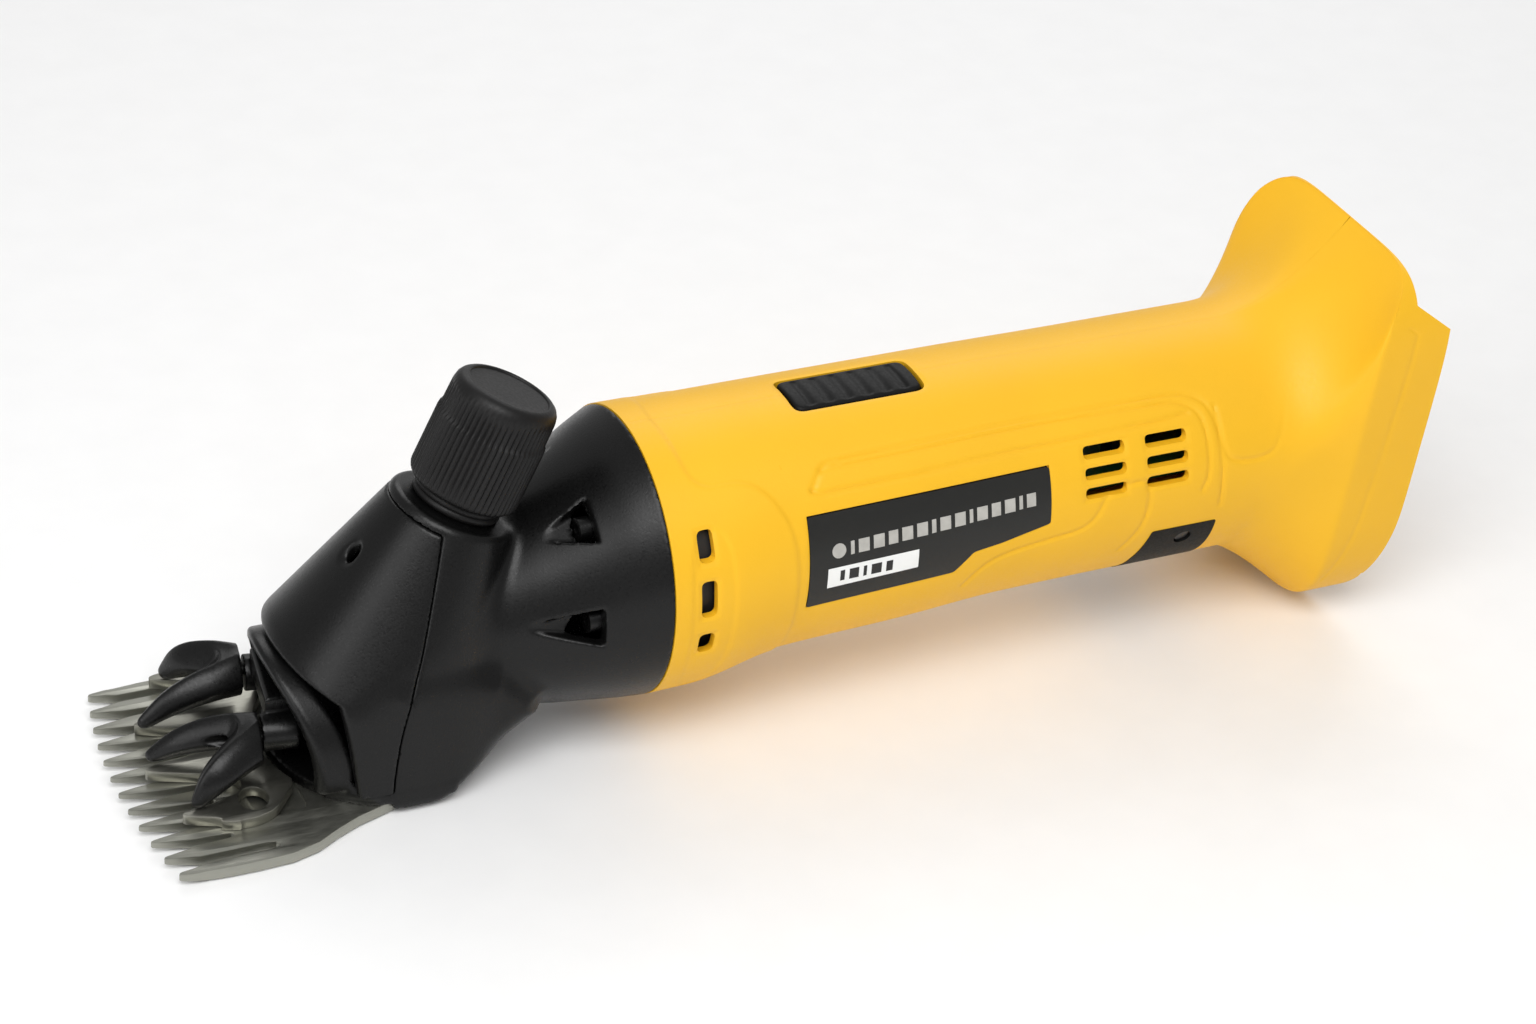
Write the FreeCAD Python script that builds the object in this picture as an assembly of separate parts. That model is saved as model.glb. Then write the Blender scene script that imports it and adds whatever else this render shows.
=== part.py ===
"""Cordless sheep shears: shearing head, motor barrel and battery foot.

Working frame (mm): X runs along the barrel towards the battery foot, with x = 0 at the joint between
the head casting and the barrel. Y points to the tool's right and Z up to the switch side, and the
motor axis is the X axis. Every part is moved by SHIFT when it is written, so that the finished
object's origin is the bottom centre of its bounding box.
"""
import FreeCAD, Part
import math
import os
from FreeCAD import Vector

# ---------------------------------------------------------------- driving dimensions
GAP = 0.1                       # ordinary clearance between separate pieces

# barrel and foot
WALL = 2.6                      # moulded wall
BARREL = [(0, 36.7, -1.2), (12, 36.5, -1.0), (35, 34.5, 1.5), (70, 33.9, 2.3), (100, 33.1, 3.3),
          (130, 32.9, 3.4), (166, 32.9, 3.5)]           # x, radius, height of centre
FOOT_HALF_WIDTH = 38.0
FOOT_TOP = 60.0
FOOT_SHOULDER = 44.0            # where the rear edge turns into the slope of the top
FOOT_BOTTOM = -43.6
FOOT_TUCK = 0.006               # how far the rear edge curls forward at the bottom
FOOT_CREASE_X = 190.0           # where the flare turns into the side walls, at z = 0
FOOT_REAR_X = 210.1             # rear edge at z = 0
FOOT_LEAN = 0.1                 # rearward lean of both, per mm of height
ROOF_REAR_X = 204.5             # rear of the foot's top, in front of the sloping wings
FOOT_END_X = 230.0              # beyond the rear edge, where the outline is trimmed
FLARE_SIDE = 1.9                # how late the flare opens out: at the top and the sides,
FLARE_CORNER = 3.1              # over the upper corners
FLARE_BELOW = 1.45              # and underneath
FLARE_RINGS = 6
RING_POINTS = 36
RING_ANGLES = [2 * math.pi * i / RING_POINTS for i in range(RING_POINTS)]
BAY_FLOOR_X = 203.5             # face that the battery slides against
BAY_HALF_WIDTH = 32.5
BAY_TOP = 43.0
FOOT_SQUARENESS = (5.5, 3.3)    # superellipse powers of the foot's upper and lower half

# details of the barrel
NAMEPLATE = [(36.6, 18.6), (104.4, 19.5), (104.5, 4.9), (91, 2.0), (83, 1.0), (78, -4.4), (36.6, -5.7)]
PAD = (136.0, 157.0, -5.0)      # front, rear and top of the black pad under the handle
PAD_SCREW_ANGLE = 24.0          # degrees below the side, seen along the barrel
PLATE_DEPTH = 1.2
SWITCH = (42.6, 79.1, 7.6)      # front, rear and half width of the switch's slot
SWITCH_RIDGES = 6
ROCKER_PIVOT = Vector(60.8, 0, 29.0)
ROCKER_PIN_RADIUS = 1.45
CARRIER_BOTTOM = 22.6
CARRIER_TOP = 24.6
FRONT_VENTS = [(13.2, 20.4), (-0.6, 8.9), (-11.7, -5.7)]                   # bottom and top of each
SIDE_VENTS = [(x, z) for x in (114.5, 132.5) for z in (20.4, 15.5, 10.6)]   # front end and height of each
SIDE_VENT_LENGTH = 12.0
SIDE_VENT_HALF = 1.5
BOSSES = [(30, 26), (30, -27), (88, -24.5), (104, 27), (148, 27), (176, -22), (198.3, 40.5)]
BOSS_RADIUS = 3.8
SCREW_RADIUS = 1.5
BOARD_BOTTOM = 1.2
BOARD_TOP = 2.8

# head
BELL = [(0, 36.7, -1.2), (-7, 34.6, -3.2), (-14, 32.0, -5.4), (-27, 27.3, -9.0), (-40, 22.0, -11.0),
        (-52, 19.0, -12.0)]
CAST_WALL = 3.2
KNOB_LEAN = 24.3                # degrees that the tension axis leans back from Z
COLLAR = Vector(-43.7, 0, 21.0) # centre of the collar's top face, on the tension axis
COLLAR_RADIUS = 15.5
CONE_SLOPE = 0.34               # growth of the cone's radius per mm down the tension axis
CHEEK_HALF_WIDTH = 29.3
NOSE_RADIUS = 41.4              # plan radius of the cover's front
NOSE_CENTRE_X = -50.1
HEAD_BOTTOM = -44.3
SEAM = [(-50.5, 26), (-54.4, 13.9), (-60.3, -4), (-64.1, -14.5), (-67, -25.7), (-68.3, -38), (-68.5, -46)]
MOUTH = [(-93, -7.3), (-80.6, -14.5), (-76.9, -39.6), (-76.9, -60), (-100, -60), (-100, -7.3)]
SCOOPS = [(56.0, -14.6), (5.0, -15.8)]      # angle up from the side and x of the screw's seat
SCOOP_RING = 25.5               # distance of the head screws from SCOOP_Z
SCOOP_Z = -4.5
BAND_Z = -35.0                  # centre of the arched band inside the mouth
BAND_INNER = 22.5
BAND_OUTER = 25.5
BAND_REACH = (37.0, 43.4)       # distances from the nose's axis between which the band lies
PLATE_RADIUS = 31.5             # gear plate between the head and the barrel
PLATE_X = (-1.5, 3.4)

# shearing set
PIVOT_X = -59.6                 # vertical axis that the fork swings about
SWING = 8.8                     # degrees each side of the middle of the stroke
COMB_BOTTOM = -45.5
COMB_TOP = -42.5
COMB_EDGE = [(-57.5, 22), (-60, 25), (-71.9, 29), (-77.6, 30.8), (-83.7, 33.6), (-90, 37.2), (-97, 39.4),
             (-106, 39.6), (-116, 38.9), (-125, 38.4), (-131, 38.3)]    # the comb's right edge (x, y)
COMB_TEETH = 12
TOOTH_PITCH = 6.9
COMB_TIP_X = -129.3
COMB_TIP_RADIUS = 164.0
SLOT_ROOT_X = -108.0
OUTER_ROOT_X = -99.0            # the outermost slots are longer
CUTTER_PITCH = 19.0
CUTTER_TIP_REACH = 62.0         # cutter tips' distance from the pivot
CUTTER_BOTTOM = COMB_TOP + 0.05
CUTTER_TOP = -39.5
BED_TOP = -39.5
BED_RADIUS = 31.5               # front edge of the comb's bed, about the fork's pivot
CUTTER_CLEAR = 33.4             # radius about the pivot that the cutter keeps out of
CUTTER_ROOT_X = -103.0
COMB_SCREW_X = -68.0
COMB_SCREW_Y = (-15.0, 15.0)
POST_BALL_Z = -30.6             # ball that the fork swings on
PIN_BALL_Z = -14.06             # ball that presses the fork down
FORK_BOTTOM = -28.5
FORK_TOP = -16.6
ARM_TOP = -21.0
CLAW_Y = 14.5
CLAW_Z = -30.0
CLAW_PIN_RADIUS = 1.5
CLAW_TIP_Z = CUTTER_TOP + 0.4
OUTER_HORN = [(-95.5, 16.5, -30, 5.0), (-100, 20.5, -31.2, 4.6), (-106, 24.7, -34.3, 3.6),
              (-110.8, 27, CLAW_TIP_Z, 1.7)]            # x, y, z, radius
INNER_HORN = [(-95.5, 12.5, -30, 4.8), (-103, 10, -31.2, 4.4), (-112, 8.2, -34.6, 3.2),
              (-119.0, 7, CLAW_TIP_Z, 1.6)]

# tension set
SLEEVE_RADIUS = 9.0
KNOB_RADIUS = 14.1
KNOB_LOW = 4.3                  # underside of the knob above the collar
KNOB_HEIGHT = 28.2
KNOB_GROOVES = 40

# drive
GEAR_MODULE = 0.75
PRESSURE_ANGLE = 20.0
BACKLASH = 0.06
PINION_TEETH = 12
WHEEL_TEETH = 24
CRANK_Z = -(PINION_TEETH + WHEEL_TEETH) * GEAR_MODULE / 2
CRANK_THROW = 2.9
MOTOR_RADIUS = 21.0
MOTOR_FRONT = 22.0
MOTOR_REAR = 80.0
SHAFT_RADIUS = 2.5
SHROUD_RADIUS = 32.2
SHROUD_REAR = 16.0
FAN_RADIUS = 28.0
FAN_BLADES = 11
ARMATURE_SLOTS = 12
SLOT_RING = 12.0                # distance of the armature's slots from the axis
MOTOR_BEARINGS = [(6.5, SHAFT_RADIUS, 4.0, MOTOR_FRONT - 4.0, 0.0), (6.5, SHAFT_RADIUS, 4.0, 93.0, 0.0)]
CRANK_BEARINGS = [(6.6, 3.0, 4.0, -3.0, CRANK_Z), (8.0, 4.0, 5.0, -31.0, CRANK_Z)]
PIN_RADIUS = 3.5
BORE_RADIUS = 3.56              # running fit of the tension pin

SHIFT = Vector(-(FOOT_REAR_X + 4.4 + COMB_TIP_X) / 2, 0, -COMB_BOTTOM)
KNOB_DIR = Vector(math.sin(math.radians(KNOB_LEAN)), 0, math.cos(math.radians(KNOB_LEAN)))
X_AXIS = Vector(1, 0, 0)
Y_AXIS = Vector(0, 1, 0)
Z_AXIS = Vector(0, 0, 1)


# ---------------------------------------------------------------- shape helpers
def rod(radius, start, end):
    """Cylinder between two points."""
    way = end - start
    return Part.makeCylinder(radius, way.Length, start, way)


def rod_x(radius, x0, x1, y=0.0, z=0.0):
    return rod(radius, Vector(x0, y, z), Vector(x1, y, z))


def tube_x(outer, inner, x0, x1, y=0.0, z=0.0):
    return rod_x(outer, x0, x1, y, z).cut(rod_x(inner, x0 - 1, x1 + 1, y, z))


def along_knob(distance):
    """Point on the tension axis, measured up from the collar's face."""
    return COLLAR + KNOB_DIR * distance


def knob_rod(radius, low, high):
    return rod(radius, along_knob(low), along_knob(high))


def block(x0, x1, y0, y1, z0, z1):
    return Part.makeBox(x1 - x0, y1 - y0, z1 - z0, Vector(x0, y0, z0))


def prism(points, way):
    """Solid swept along a vector from a closed polygon."""
    wire = Part.makePolygon(points + [points[0]])
    return Part.Face(wire).extrude(way)


def side_prism(outline, y0, y1):
    """Prism across Y with an outline given as (x, z)."""
    return prism([Vector(x, y0, z) for x, z in outline], Vector(0, y1 - y0, 0))


def plan_prism(outline, z0, z1):
    """Upright prism with an outline given as (x, y)."""
    return prism([Vector(x, y, z0) for x, y in outline], Vector(0, 0, z1 - z0))


def fuse(shapes):
    return shapes[0].multiFuse(shapes[1:])


def mirrored(shape):
    """The same shape on the other side of the tool."""
    return shape.mirror(Vector(0, 0, 0), Y_AXIS)


def pair(shape):
    return [shape, mirrored(shape)]


def swung(shape):
    """Turns a shape about the fork's pivot from mid stroke to where the fork rests."""
    turned = shape.copy()
    turned.rotate(Vector(PIVOT_X, 0, 0), Z_AXIS, -SWING)
    return turned


def round_loft(stations, inset=0.0):
    """Smooth solid through circles that stand across X."""
    rings = [Part.Wire([Part.Edge(Part.Circle(Vector(x, 0, z), X_AXIS, r - inset))]) for x, r, z in stations]
    return Part.makeLoft(rings, True, False)


def save(name, shapes):
    """Writes one node: one shape, or several separate solids."""
    shape = Part.makeCompound(shapes) if isinstance(shapes, list) else shapes
    moved = shape.copy()
    moved.translate(SHIFT)
    moved.exportStep("parts/" + name + ".step")
    print(name, len(moved.Solids), moved.isValid(), round(moved.Volume))


# ---------------------------------------------------------------- barrel and foot
def foot_outline(inset):
    """Points (y, z) round the foot: straight walls, sloping shoulders and a rounded bottom."""
    centre = BARREL[-1][2]
    half = FOOT_HALF_WIDTH - inset
    points = []
    for angle in RING_ANGLES:
        c = math.cos(angle)
        s = math.sin(angle)
        power = 2 / FOOT_SQUARENESS[0 if s > 0 else 1]
        reach = FOOT_TOP - inset - centre if s > 0 else centre - FOOT_BOTTOM - inset
        y = math.copysign(abs(c) ** power, c) * half
        points.append((y, centre + math.copysign(abs(s) ** power, s) * reach))
    return points


def closed_curve(points):
    curve = Part.BSplineCurve()
    curve.interpolate(Points=points, PeriodicFlag=True)
    return Part.Wire([curve.toShape()])


def crease_x(z):
    """Front edge of the foot's walls: it sweeps back over the shoulders and a little at the bottom."""
    sweep = 0.02 * max(0.0, z - 40.0) ** 2 + 0.003 * max(0.0, -10.0 - z) ** 2
    return FOOT_CREASE_X + FOOT_LEAN * z + sweep


def rear_x(z):
    """Rear edge of the foot."""
    return FOOT_REAR_X + FOOT_LEAN * z - FOOT_TUCK * max(0.0, -10.0 - z) ** 2


def rear_profile():
    """Side outline (x, z) of everything in front of the foot's rear edge."""
    top = [(-9, 80), (ROOF_REAR_X - 1, 80), (ROOF_REAR_X, FOOT_SHOULDER + 7.5)]
    heights = [FOOT_SHOULDER, -10, -18, -26, -34, -42, -50]
    return top + [(rear_x(z), z) for z in heights] + [(-9, -50)]


def ring_at(x, points):
    return closed_curve([Vector(x, y, z) for y, z in points])


def flare_power(angle):
    """How late the flare opens out at an angle round the barrel."""
    s = math.sin(angle)
    if s < 0:
        return FLARE_SIDE + (FLARE_SIDE - FLARE_BELOW) * s
    return FLARE_SIDE + (FLARE_CORNER - FLARE_SIDE) * abs(math.sin(2 * angle))


def body_solid(inset=0.0):
    """Barrel, flare and foot in one skin of ruled bands."""
    rings = []
    for x, radius, centre in BARREL:
        size = radius - inset
        circle = [(size * math.cos(a), centre + size * math.sin(a)) for a in RING_ANGLES]
        rings.append(ring_at(x, circle))
    foot = foot_outline(inset)
    start = BARREL[-1][0]
    for i in range(1, FLARE_RINGS + 1):
        along = i / FLARE_RINGS
        ring = []
        for angle, (y0, z0), (y1, z1) in zip(RING_ANGLES, circle, foot):
            grown = along ** flare_power(angle)
            y = y0 + (y1 - y0) * grown
            z = z0 + (z1 - z0) * grown
            ring.append(Vector(start + (crease_x(z1) + 0.5 * inset - start) * along, y, z))
        rings.append(closed_curve(ring))
    rings.append(closed_curve([Vector((crease_x(z) + FOOT_END_X) / 2, y, z) for y, z in foot]))
    rings.append(ring_at(FOOT_END_X, foot))
    return Part.makeLoft(rings, True, True)


def body_outside():
    return body_solid().common(side_prism(rear_profile(), -60, 60))


def body_inside():
    inner = side_prism([(x - 1.4 * WALL, z) for x, z in rear_profile()], -60, 60)
    room = block(-15, BAY_FLOOR_X - WALL, -60, 60, -60, 60)
    return body_solid(WALL).common(room).common(inner)


def battery_bay():
    """Space behind the foot, open to the rear and the bottom, with a rail left on each wall."""
    space = block(BAY_FLOOR_X, 240, -BAY_HALF_WIDTH, BAY_HALF_WIDTH, -70, BAY_TOP)
    inner = BAY_HALF_WIDTH - 2.8
    rail = block(BAY_FLOOR_X + 4.5, BAY_FLOOR_X + 7.5, inner, BAY_HALF_WIDTH + 1, -8, BAY_TOP - 3)
    return space.cut(fuse(pair(rail)))


def surface_plate(outline, y0, y1):
    """Plate flush with the barrel's surface, behind an outline given as (x, z)."""
    skin = body_solid().cut(body_solid(PLATE_DEPTH))
    return skin.common(side_prism(outline, y0, y1))


def vent_cuts():
    cuts = []
    for low, high in FRONT_VENTS:
        cuts.append(block(7, 11.2, -45, -24, low, high))
    for x, z in SIDE_VENTS:
        cuts.append(block(x, x + SIDE_VENT_LENGTH, -45, -20, z - SIDE_VENT_HALF, z + SIDE_VENT_HALF))
    return cuts + [mirrored(cut) for cut in cuts]


def boss_bars(outside):
    bars = [rod(BOSS_RADIUS, Vector(x, -40, z), Vector(x, 40, z)) for x, z in BOSSES]
    return fuse(bars).common(outside)


def screw(x, z):
    """Shell screw driven in from the tool's right."""
    shank = rod(SCREW_RADIUS, Vector(x, -9, z), Vector(x, 8, z))
    head = rod(2.9, Vector(x, 8, z), Vector(x, 10.2, z))
    drive = rod(1.2, Vector(x, 9, z), Vector(x, 11, z))
    return shank.fuse(head).cut(drive)


def screw_holes():
    cuts = []
    for x, z in BOSSES:
        cuts.append(rod(SCREW_RADIUS + 0.02, Vector(x, -9.5, z), Vector(x, 8.5, z)))
        cuts.append(rod(3.1, Vector(x, 8, z), Vector(x, 45, z)))
    return cuts


def underside_pad():
    front, rear, top = PAD
    outline = [(front, top), (rear - 2, top), (rear, -40), (front - 2, -40), (front - 2, -16)]
    return surface_plate(outline, -40, 40)


def pad_screw():
    """Screw through the pad on the tool's left."""
    x = (PAD[0] + PAD[1]) / 2
    angle = math.radians(PAD_SCREW_ANGLE)
    way = Vector(0, math.cos(angle), math.sin(angle))
    seat = Vector(x, 0, BARREL[-1][2]) - way * (BARREL[-1][1] - 0.9)
    return rod(1.9, seat, seat + way * 0.8).fuse(rod(1.0, seat, seat + way * 3.5))


def inner_ribs(outside):
    """Ledges inside the shells, under the control board and beside the switch's carrier."""
    board_ledges = pair(block(116, 160, 15.5, 32, -0.9, BOARD_BOTTOM))
    switch_ledges = pair(block(50, 72, 9.3, 24, CARRIER_BOTTOM, CARRIER_TOP))
    return fuse(board_ledges + switch_ledges).common(outside)


def body_shells():
    outside = body_outside()
    walls = outside.cut(body_inside()).cut(battery_bay())
    shell = fuse([walls, boss_bars(outside), inner_ribs(outside)])
    plate = surface_plate(NAMEPLATE, -45, 0)
    pad = underside_pad()
    front, rear, half = SWITCH
    slot = block(front, rear, -half, half, 20, 45)
    motor_room = rod_x(MOTOR_RADIUS + 1.2, MOTOR_FRONT - 4, MOTOR_REAR + 12)
    fan_room = rod_x(SHROUD_RADIUS + 0.05, -1, SHROUD_REAR + 0.1)
    bits = pair(pad_screw())
    cuts = [battery_bay(), plate, pad, slot, motor_room, fan_room, terminal_body()] + bits
    cuts += vent_cuts() + screw_holes()
    shell = shell.cut(fuse(cuts))
    save("body_shell_left", shell.common(block(-10, 260, -60, 0, -80, 80)))
    save("body_shell_right", shell.common(block(-10, 260, 0, 60, -80, 80)))
    save("shell_screws", [screw(x, z) for x, z in BOSSES])
    save("nameplate", plate)
    save("underside_pad", pad.cut(fuse(bits)))
    save("pad_screws", bits)


# ---------------------------------------------------------------- switch
def switch():
    front, rear, half = SWITCH
    crown = body_solid().common(block(front + 0.9, rear - 0.9, -half + 0.7, half - 0.7, 26.5, 45))
    ridges = []
    for i in range(SWITCH_RIDGES):
        x = front + 5 + i * (rear - front - 10) / (SWITCH_RIDGES - 1)
        ridges.append(rod(1.6, Vector(x, -half - 1, 37.3), Vector(x, half + 1, 37.3)))
    ear = block(57, 64.6, -2.5, 2.5, 26.6, 30)
    bore = rod(ROCKER_PIN_RADIUS + 0.07, ROCKER_PIVOT - Y_AXIS * 10, ROCKER_PIVOT + Y_AXIS * 10)
    save("switch_rocker", crown.cut(fuse(ridges)).fuse(ear).cut(bore))
    pin = rod(ROCKER_PIN_RADIUS, ROCKER_PIVOT - Y_AXIS * 9.2, ROCKER_PIVOT + Y_AXIS * 9.2)
    save("switch_pin", pin)
    carrier = block(46, 76, -9.2, 9.2, CARRIER_BOTTOM, CARRIER_TOP)
    posts = fuse(pair(block(57, 64.6, 7.9, 9.2, 24, 31)))
    save("switch_body", carrier.fuse(posts).cut(pin))


# ---------------------------------------------------------------- motor
def bearing(outer, inner, width, x, z):
    """Outer race, inner race and balls of a bearing on an axis along X."""
    mid = (outer + inner) / 2
    ball_radius = (outer - inner) * 0.24
    groove = Part.makeTorus(mid, ball_radius + 0.03, Vector(x + width / 2, 0, z), X_AXIS)
    outer_race = tube_x(outer, mid + ball_radius * 0.55, x, x + width, 0, z).cut(groove)
    inner_race = tube_x(mid - ball_radius * 0.55, inner, x, x + width, 0, z).cut(groove)
    count = int(math.pi * mid / ball_radius * 0.8)
    balls = []
    for i in range(count):
        a = 2 * math.pi * i / count
        centre = Vector(x + width / 2, mid * math.cos(a), z + mid * math.sin(a))
        balls.append(Part.makeSphere(ball_radius, centre))
    return outer_race, inner_race, balls


def ring_of_bars(radius, angle_centre, half_angle, inner, x0, x1):
    """Arc-shaped block about the motor axis."""
    whole = tube_x(radius, inner, x0, x1)
    reach = radius * 2
    points = [Vector(x0 - 1, 0, 0)]
    for a in (angle_centre - half_angle, angle_centre, angle_centre + half_angle):
        r = math.radians(a)
        points.append(Vector(x0 - 1, reach * math.cos(r), reach * math.sin(r)))
    return whole.common(prism(points, X_AXIS * (x1 - x0 + 2)))


def motor():
    can = tube_x(MOTOR_RADIUS, MOTOR_RADIUS - 1.5, MOTOR_FRONT, MOTOR_REAR)
    face = tube_x(MOTOR_RADIUS, 5.0, MOTOR_FRONT, MOTOR_FRONT + 1.5)
    nose = tube_x(8.0, 6.5, MOTOR_FRONT - 4, MOTOR_FRONT + 0.5)
    save("motor_can", fuse([can, face, nose]))
    magnets = [ring_of_bars(19.4, a, 55, 16.6, 30, 70) for a in (90, 270)]
    save("motor_magnets", magnets)
    cap = tube_x(MOTOR_RADIUS, 14.0, MOTOR_REAR, MOTOR_REAR + 10).fuse(tube_x(14.5, 6.5, 91.0, 97.0))
    cap = cap.fuse(tube_x(MOTOR_RADIUS, 10.0, 89.0, 92.0))
    guide = block(82, 88, 8.5, 22, -2.5, 2.5)
    brush = block(83, 87, 6.1, 16, -1.7, 1.7)
    holder = guide.cut(block(83, 87, 6, 30, -1.7, 1.7))
    save("motor_end_cap", cap.cut(fuse(pair(guide))))
    save("brush_holders", pair(holder))
    save("carbon_brushes", pair(brush))
    shroud = tube_x(SHROUD_RADIUS, FAN_RADIUS + 1.5, 3.5, SHROUD_REAR)
    web = tube_x(SHROUD_RADIUS, 16.0, SHROUD_REAR - 1.5, SHROUD_REAR)
    save("fan_shroud", shroud.fuse(web))


def rotor():
    save("motor_shaft", rod_x(SHAFT_RADIUS, -16, 98))
    core = tube_x(15.6, SHAFT_RADIUS, 32, 68)
    slots = []
    for i in range(ARMATURE_SLOTS):
        a = 2 * math.pi * i / ARMATURE_SLOTS
        slots.append(rod_x(1.9, 31, 69, SLOT_RING * math.cos(a), SLOT_RING * math.sin(a)))
        throat = block(31, 69, 12, 17, -0.6, 0.6)
        throat.rotate(Vector(0, 0, 0), X_AXIS, math.degrees(a))
        slots.append(throat)
    save("armature_core", core.cut(fuse(slots)))
    ends = [tube_x(14.3, 4.5, 26.5, 32), tube_x(14.3, 6.5, 68, 74)]
    bars = []
    for i in range(ARMATURE_SLOTS):
        a = 2 * math.pi * i / ARMATURE_SLOTS
        bars.append(rod_x(1.8, 31, 69, SLOT_RING * math.cos(a), SLOT_RING * math.sin(a)))
    save("armature_windings", fuse(ends + bars))
    segments = tube_x(6.0, SHAFT_RADIUS, 76, 89)
    cuts = []
    for i in range(ARMATURE_SLOTS):
        cut = block(77, 90, 5.2, 7, -0.2, 0.2)
        cut.rotate(Vector(0, 0, 0), X_AXIS, 360.0 * i / ARMATURE_SLOTS)
        cuts.append(cut)
    save("commutator", segments.cut(fuse(cuts)))
    hub = tube_x(6.0, SHAFT_RADIUS, 5, 13)
    disc = tube_x(FAN_RADIUS, SHAFT_RADIUS, 11.5, 13)
    blades = []
    for i in range(FAN_BLADES):
        blade = block(5.5, 12, 14, FAN_RADIUS - 0.5, -0.8, 0.8)
        blade.rotate(Vector(0, 14, 0), X_AXIS, 28)
        blade.rotate(Vector(0, 0, 0), X_AXIS, 360.0 * i / FAN_BLADES)
        blades.append(blade)
    save("cooling_fan", fuse([hub, disc] + blades))
    save("motor_pinion", gear(PINION_TEETH, -14.0, -5.0, 0.0, SHAFT_RADIUS, 0.0))


# ---------------------------------------------------------------- gears and crank
def gear(teeth, x0, x1, z, bore, turn):
    """Spur gear about an axis along X, with involute flanks and a little backlash."""
    pitch = teeth * GEAR_MODULE / 2
    base = pitch * math.cos(math.radians(PRESSURE_ANGLE))
    tip = pitch + 0.85 * GEAR_MODULE
    root = pitch - 1.2 * GEAR_MODULE

    def involute(radius):
        if radius <= base:
            return 0.0
        roll = math.sqrt((radius / base) ** 2 - 1)
        return roll - math.atan(roll)

    half = math.pi / (2 * teeth) - BACKLASH / pitch + involute(pitch)
    radii = [root, max(root + 0.05, base), (base + tip) / 2, tip]
    points = []
    for i in range(teeth):
        middle = 2 * math.pi * i / teeth + turn
        flank = [(r, half - involute(r)) for r in radii]
        for r, a in [(r, -a) for r, a in flank] + flank[::-1]:
            points.append(Vector(x0, r * math.cos(middle + a), z + r * math.sin(middle + a)))
    body = prism(points, X_AXIS * (x1 - x0))
    return body.cut(rod_x(bore, x0 - 1, x1 + 1, 0, z))


def crank():
    turn = math.pi / 2 + math.pi / WHEEL_TEETH
    save("drive_gear", gear(WHEEL_TEETH, -13.0, -6.0, CRANK_Z, 4.0, turn))
    shaft = rod_x(4.0, -34, -3, 0, CRANK_Z).fuse(rod_x(3.0, -3.2, 1.0, 0, CRANK_Z))
    disc = rod_x(7.5, -37, -33.5, 0, CRANK_Z)
    pin = rod_x(2.0, -43.5, -36, -CRANK_THROW, CRANK_Z)
    save("crankshaft", fuse([shaft, disc, pin]))
    save("crank_roller", tube_x(3.8, 2.0, -43.3, -37.6, -CRANK_THROW, CRANK_Z))


def bearings():
    for name, group in (("motor", MOTOR_BEARINGS), ("crank", CRANK_BEARINGS)):
        outers = []
        inners = []
        balls = []
        for size in group:
            outer, inner, set_of_balls = bearing(*size)
            outers.append(outer)
            inners.append(inner)
            balls += set_of_balls
        save(name + "_bearing_outers", outers)
        save(name + "_bearing_inners", inners)
        save(name + "_bearing_balls", balls)


# ---------------------------------------------------------------- head
def head_outside():
    reach = 72.0
    cone = Part.makeCone(COLLAR_RADIUS, COLLAR_RADIUS + CONE_SLOPE * reach, reach, COLLAR, KNOB_DIR * -1)
    nose = Part.makeCylinder(NOSE_RADIUS, 120, Vector(NOSE_CENTRE_X, 0, -70), Z_AXIS)
    side = [(-100, 40), (-28, 40), (-28, -26), (-56, HEAD_BOTTOM), (-100, HEAD_BOTTOM)]
    snout = cone.common(nose).common(side_prism(side, -CHEEK_HALF_WIDTH, CHEEK_HALF_WIDTH))
    under = [(-66, -18), (-42, -18), (-31, -25), (-29, -28), (-54, HEAD_BOTTOM), (-66, HEAD_BOTTOM)]
    chin = side_prism(under, -26, 26)
    return fuse([snout, chin, round_loft(BELL)])


def head_inside():
    top = 9.0
    reach = 65.0
    slim = CAST_WALL * math.sqrt(1 + CONE_SLOPE ** 2)
    start = COLLAR_RADIUS + CONE_SLOPE * top - slim
    cone = Part.makeCone(start, start + CONE_SLOPE * reach, reach, along_knob(-top), KNOB_DIR * -1)
    nose = Part.makeCylinder(NOSE_RADIUS - CAST_WALL, 120, Vector(NOSE_CENTRE_X, 0, -70), Z_AXIS)
    half = CHEEK_HALF_WIDTH - CAST_WALL
    side = [(-100, 40), (-31, 40), (-31, -22), (-55, BED_TOP), (-100, BED_TOP)]
    room = cone.common(nose).common(side_prism(side, -half, half))
    bell = round_loft(BELL, CAST_WALL).common(block(-50, 5, -50, 50, -50, 50))
    web = rod_x(40, -31, -25, 0, CRANK_Z)
    return room.fuse(bell.cut(web))


def front_of_seam():
    outline = SEAM + [(-130, -46), (-130, 26)]
    return side_prism(outline, -60, 60).cut(knob_rod(60, -2.6, 60)).cut(knob_rod(12.7, -60, 60))


def upright(radius, x, z0, z1):
    """Upright cylinder on the tool's middle plane."""
    return Part.makeCylinder(radius, z1 - z0, Vector(x, 0, z0), Z_AXIS)


def comb_bed():
    """Flat table that the comb is screwed to, with its front edge an arc about the fork's pivot."""
    half = CHEEK_HALF_WIDTH
    table = upright(BED_RADIUS, PIVOT_X, COMB_TOP, BED_TOP).common(block(-100, PIVOT_X, -half, half, -50, 0))
    side = block(-78, -52, -half, half, COMB_TOP, BED_TOP)
    limit = upright(NOSE_RADIUS, NOSE_CENTRE_X, -50, -30)
    bosses = [rod(5.0, Vector(COMB_SCREW_X, y, COMB_TOP), Vector(COMB_SCREW_X, y, -34)) for y in COMB_SCREW_Y]
    return fuse([table, side] + bosses).common(limit)


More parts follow.
